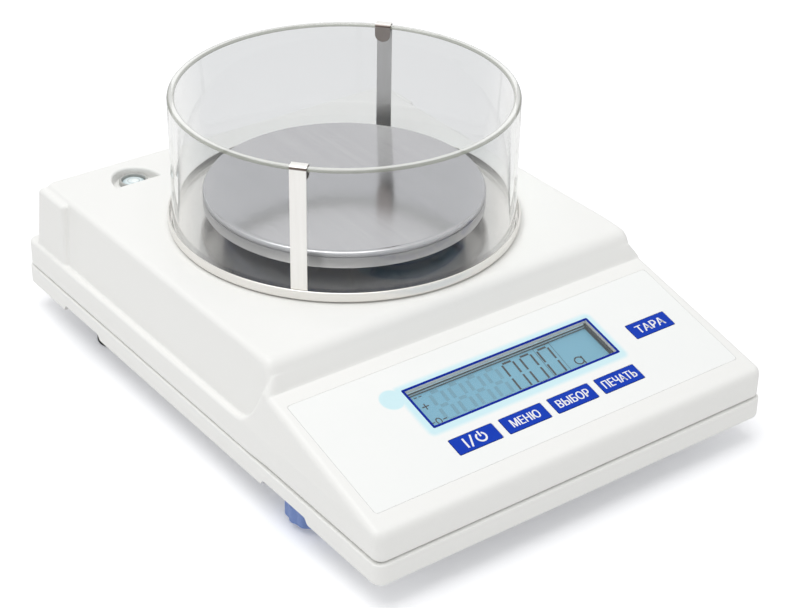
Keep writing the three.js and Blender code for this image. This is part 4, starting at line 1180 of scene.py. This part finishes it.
def caption(name, words, width):
    # lettering made to fit a width and height, centred on its middle
    c = captionSize
    data = bpy.data.curves.new(name, "FONT")
    data.body = words
    data.size = 1.0
    data.extrude = c["thick"]
    text = addObject(name, data)
    mesh = evaluated(text)
    bpy.data.objects.remove(text)
    corners = np.array([v.co[:] for v in mesh.vertices])
    low, high = corners.min(0), corners.max(0)
    mesh.transform(Matrix.Translation(-Vector((low + high) / 2)))
    stretch = [wanted * mm / size for wanted, size in zip((width, c["height"], c["thick"]), high - low)]
    mesh.transform(Matrix.Diagonal((*stretch, 1)))
    copies = []
    for sign in (-1, 1):
        copies.append(mesh.copy())
        copies[-1].transform(shift(sign * c["bold"], 0, sign * c["apart"]))
    return joined(name, [outwards(copy) for copy in copies])


def powerSign():
    # a bar, a slash and a ring with a stroke in its gap
    return joined("powerSign", [ribbon("stroke", points, width, 0.0, captionSize["thick"])
                                for points, width in powerStrokes])


def makeKeys():
    look = Look("keyBlue", specular=0.12)
    cloud, fine = look.noise(160.0, 3.0), look.noise(3000.0, 2.0)
    look.feed(color=look.mixed(cloud, captionSize["keyColor"], "#0a40b8"), roughness=0.3 + fine * 0.1,
              normal=look.bump(fine, 0.12, 0.00002))
    white = plain("captionWhite", captionSize["color"], 0.35)
    for name, (x, fromTop) in keyPlaces.items():
        repaint("key_" + name, look.material)
        mesh = powerSign() if name == "power" else caption(name, *captions[name])
        mesh.transform(panelPlace @ shift(x, -fromTop, keys["stand"] + captionSize["above"]))
        fitted(name + "Caption", mesh, white, "key_" + name, "key_blue")


repaint("keypad_film", filmLook())
makeDisplay()
makeKeys()
print("panel ready")

# feet: lobed adjusting wheels on studs at the front, plain rubber feet at the rear
foot = {"wheelRadius": 13.0, "wheelLow": 3.0, "wheelHigh": 11.0, "lobes": 14, "lobeDepth": 0.7,
        "lobeReach": 2.5, "hub": 7.5, "hubTop": 15.4, "stud": 2.9, "studTop": 31.0, "studPoint": (0.4, 0.8),
        "thread": 1.0, "threadDepth": 0.5, "padRadius": 7.0, "padHigh": 2.7, "padSoft": 0.6,
        "rearRadius": 8.0, "rearTop": 15.4, "rearSoft": 1.2, "soft": 0.8}


def makeFeet():
    f = foot
    blue = grained("wheelBlue", "#6c86c4", "#7e97cf", 0.4, 900.0, 0.25, 0.00004, specular=0.45)
    rubber = plain("footRubber", "#232427", 0.75, scale=1600.0, depth=0.00006)
    soft, thread, stud, top = f["soft"], f["thread"], f["stud"], f["studTop"]
    wheel = [(0, f["wheelLow"])] + arc((f["wheelRadius"] - soft, f["wheelLow"] + soft), soft, -90, 0, 4)
    wheel += arc((f["wheelRadius"] - soft, f["wheelHigh"] - soft), soft, 0, 90, 4)
    wheel += [(f["hub"], f["wheelHigh"]), (f["hub"], f["hubTop"]), (stud, f["hubTop"])]
    for k in range(int((top - f["hubTop"] - thread) / thread)):
        z = f["hubTop"] + k * thread
        wheel += [(stud, z + 0.25 * thread), (stud - f["threadDepth"], z + 0.75 * thread)]
    step, point = f["studPoint"]
    wheel += [(stud - step, top - step), (stud - point, top), (0, top)]

    def foundation(radius, edge, steps):
        # the sole and its rounded edge
        return [(0, 0), (radius - edge, 0)] + arc((radius - edge, edge), edge, -60, 0, steps)

    pad = foundation(f["padRadius"], f["padSoft"], 3)
    pad += arc((f["padRadius"] - soft, f["padHigh"] - soft), soft, 0, 90, 4) + [(0, f["padHigh"])]
    rearFoot = foundation(f["rearRadius"], f["rearSoft"], 4)
    rearFoot += [(f["rearRadius"], f["rearTop"]), (0, f["rearTop"])]
    lobed = {"lobes": f["lobes"], "lobeDepth": f["lobeDepth"] * mm,
             "lobeFrom": (f["wheelRadius"] - f["lobeReach"]) * mm}
    for hand, sign in (("left", -1), ("right", 1)):
        at, behindIt = ((sign * tray["footX"], tray[key]) for key in ("frontFootY", "rearFootY"))
        turnedPiece(hand + "Wheel", wheel, blue, "wheel_" + hand, "blue_plastic", "foot_wheel_" + hand, at,
                    segments=224, **lobed)
        turnedPiece(hand + "Pad", pad, rubber, "foot_" + hand, "rubber", "foot_pad_" + hand, at, segments=64)
        turnedPiece(hand + "RearFoot", rearFoot, rubber, "casing", "rubber", "rear_foot_" + hand, behindIt,
                    segments=64)


screw = {"head": 3.5, "taper": 0.86, "headLow": 13.3, "headHigh": 15.5, "shank": 1.7, "top": 37.5}


def screwShape(material):
    # one screw is set at each point
    s = screw
    shape = Shape("screwShape", Head=s["head"] * mm, HeadHeight=(s["headHigh"] - s["headLow"]) * mm,
                  Shank=s["shank"] * mm, Length=(s["top"] - s["headHigh"]) * mm)
    head = shape.geo("MeshCone", Vertices=32, Radius_Top=shape["Head"],
                     Radius_Bottom=shape["Head"] * s["taper"], Depth=shape["HeadHeight"])
    shank = shape.geo("MeshCylinder", Vertices=20, Radius=shape["Shank"], Depth=shape["Length"])
    lift = shape.vector(z=shape["HeadHeight"] + shape["Length"] / 2)
    raised = shape.geo("Transform", Geometry=shank, Translation=lift)
    whole = shape.both(head, raised)
    return shape.finish(shape.geo("InstanceOnPoints", Points=shape["Geometry"], Instance=whole), material)


def makeScrews():
    steel = plain("screwSteel", "#9da0a4", 0.35, 1.0)
    base = meshFrom("screws", [(x * mm, y * mm, screw["headLow"] * mm) for x, y in screwPlaces], [])
    mesh = screwShape(steel).grow("casingScrews", base)
    fitted("casingScrews", mesh, steel, "casing", "satin_steel", ["casing_screw_%d" % k for k in range(1, 5)])


makeFeet()
makeScrews()
print("feet ready")

# inside parts and sockets keep their solids, with the right finish on each
finishes = [
    ("milledAluminium", "#b9bbc0", 0.34, 1.0, ["weighing_cell", "cell_mount", "cell_stem"]),
    ("stopSteel", "#a9abaf", 0.3, 1.0, ["overload_stop", "serial_socket"]),
    ("turnedBrass", "#c7a552", 0.3, 1.0, ["foot_insert_left", "foot_insert_right"]),
    ("circuitBoard", "#1f6b3d", 0.4, 0.0, ["main_board", "display_board"]),
    ("blackPlastic", "#1f2124", 0.5, 0.0,
     ["lcd_frame", "power_socket"] + ["switch_" + name for name in keyPlaces]),
]
for name, color, roughness, metallic, owners in finishes:
    finish = plain(name, color, roughness, metallic)
    for owner in owners:
        repaint(owner, finish)

serial = {"pins": (5, 4), "pitch": 2.77, "rowGap": 2.84, "pinRadius": 0.5, "pinLength": 4.2, "back": 129.4,
          "block": 1.2, "width": 16.2, "height": 6.4, "corner": 1.8}


def pinShape(material):
    shape = Shape("pinShape", Radius=serial["pinRadius"] * mm, Length=serial["pinLength"] * mm)
    pin = shape.geo("MeshCylinder", Vertices=16, Radius=shape["Radius"], Depth=shape["Length"])
    placed = shape.geo("InstanceOnPoints", Points=shape["Geometry"], Instance=pin,
                       Rotation=shape.vector(x=math.pi / 2))
    return shape.finish(placed, material)


def makeSerial():
    s = serial
    x, z = sockets["serial"][0], (sockets["bottom"] + sockets["top"]) / 2
    face = s["back"] + s["block"]
    gold = plain("pinGold", "#c9a750", 0.25, 1.0)
    spots = []
    for row, count in enumerate(s["pins"]):
        for k in range(count):
            spots.append((x + (k - (count - 1) / 2) * s["pitch"], face + s["pinLength"] / 2,
                          z + (0.5 - row) * s["rowGap"]))
    base = meshFrom("serialPins", [Vector(spot) * mm for spot in spots], [])
    fitted("serialPins", pinShape(gold).grow("serialPins", base), gold, "casing", "brass")
    outline = roundedPlan(s["width"], s["height"], s["corner"], 5, (x, z))
    mesh = loft("serialBlock", [[(px, y, pz) for px, pz in outline] for y in (s["back"], face)])
    fitted("serialBlock", mesh, plain("serialBlack", "#1b1d20", 0.45), "casing", "dark_plastic")


makeSerial()
print("inside ready")

# floor, light and background
studio = {"lampPower": 16.0, "lampPlace": (-0.35, 0.0, 1.7), "lampAim": (0, 0, 0.03), "lampSize": 1.6,
          "worldLight": 0.562, "floorColor": (0.97, 0.97, 0.97, 1), "floorLift": (0.21, 0.215, 0.235, 1),
          "floorRadius": 3000.0, "floorDepth": 4.0}


def makeWorld():
    # white to the camera and in reflections, and softer as a light
    world = bpy.data.worlds.new("studio")
    bpy.context.scene.world = world
    world.use_nodes = True
    tree = Tree(world.node_tree)
    soft = tree.node("ShaderNodeLightPath").sibling("Is Diffuse Ray")
    background = tree.nodes["Background"]
    background.inputs["Color"].default_value = (1, 1, 1, 1)
    tree.put(background.inputs["Strength"], 1 - soft * (1 - studio["worldLight"]))


def makeLamp():
    lamp = bpy.data.lights.new("softBox", "AREA")
    lamp.energy = studio["lampPower"]
    lamp.shape = "DISK"
    lamp.size = studio["lampSize"]
    holder = addObject("softBox", lamp)
    holder.location = studio["lampPlace"]
    aim = Vector(studio["lampAim"]) - Vector(studio["lampPlace"])
    holder.rotation_euler = aim.to_track_quat("-Z", "Y").to_euler()


def makeFloor():
    look = Look("floorWhite", color=studio["floorColor"], roughness=0.9, specular=0.0, glow=1.0)
    path = look.node("ShaderNodeLightPath")
    look.feed(emission=look.mixed(path, (0, 0, 0, 1), studio["floorLift"]))
    mesh = disc("floor", studio["floorRadius"], -studio["floorDepth"], 0, segments=64)
    addObject("floor", mesh, look.material)


makeWorld()
makeLamp()
makeFloor()
bpy.context.scene.view_settings.view_transform = "Standard"
print("studio ready")
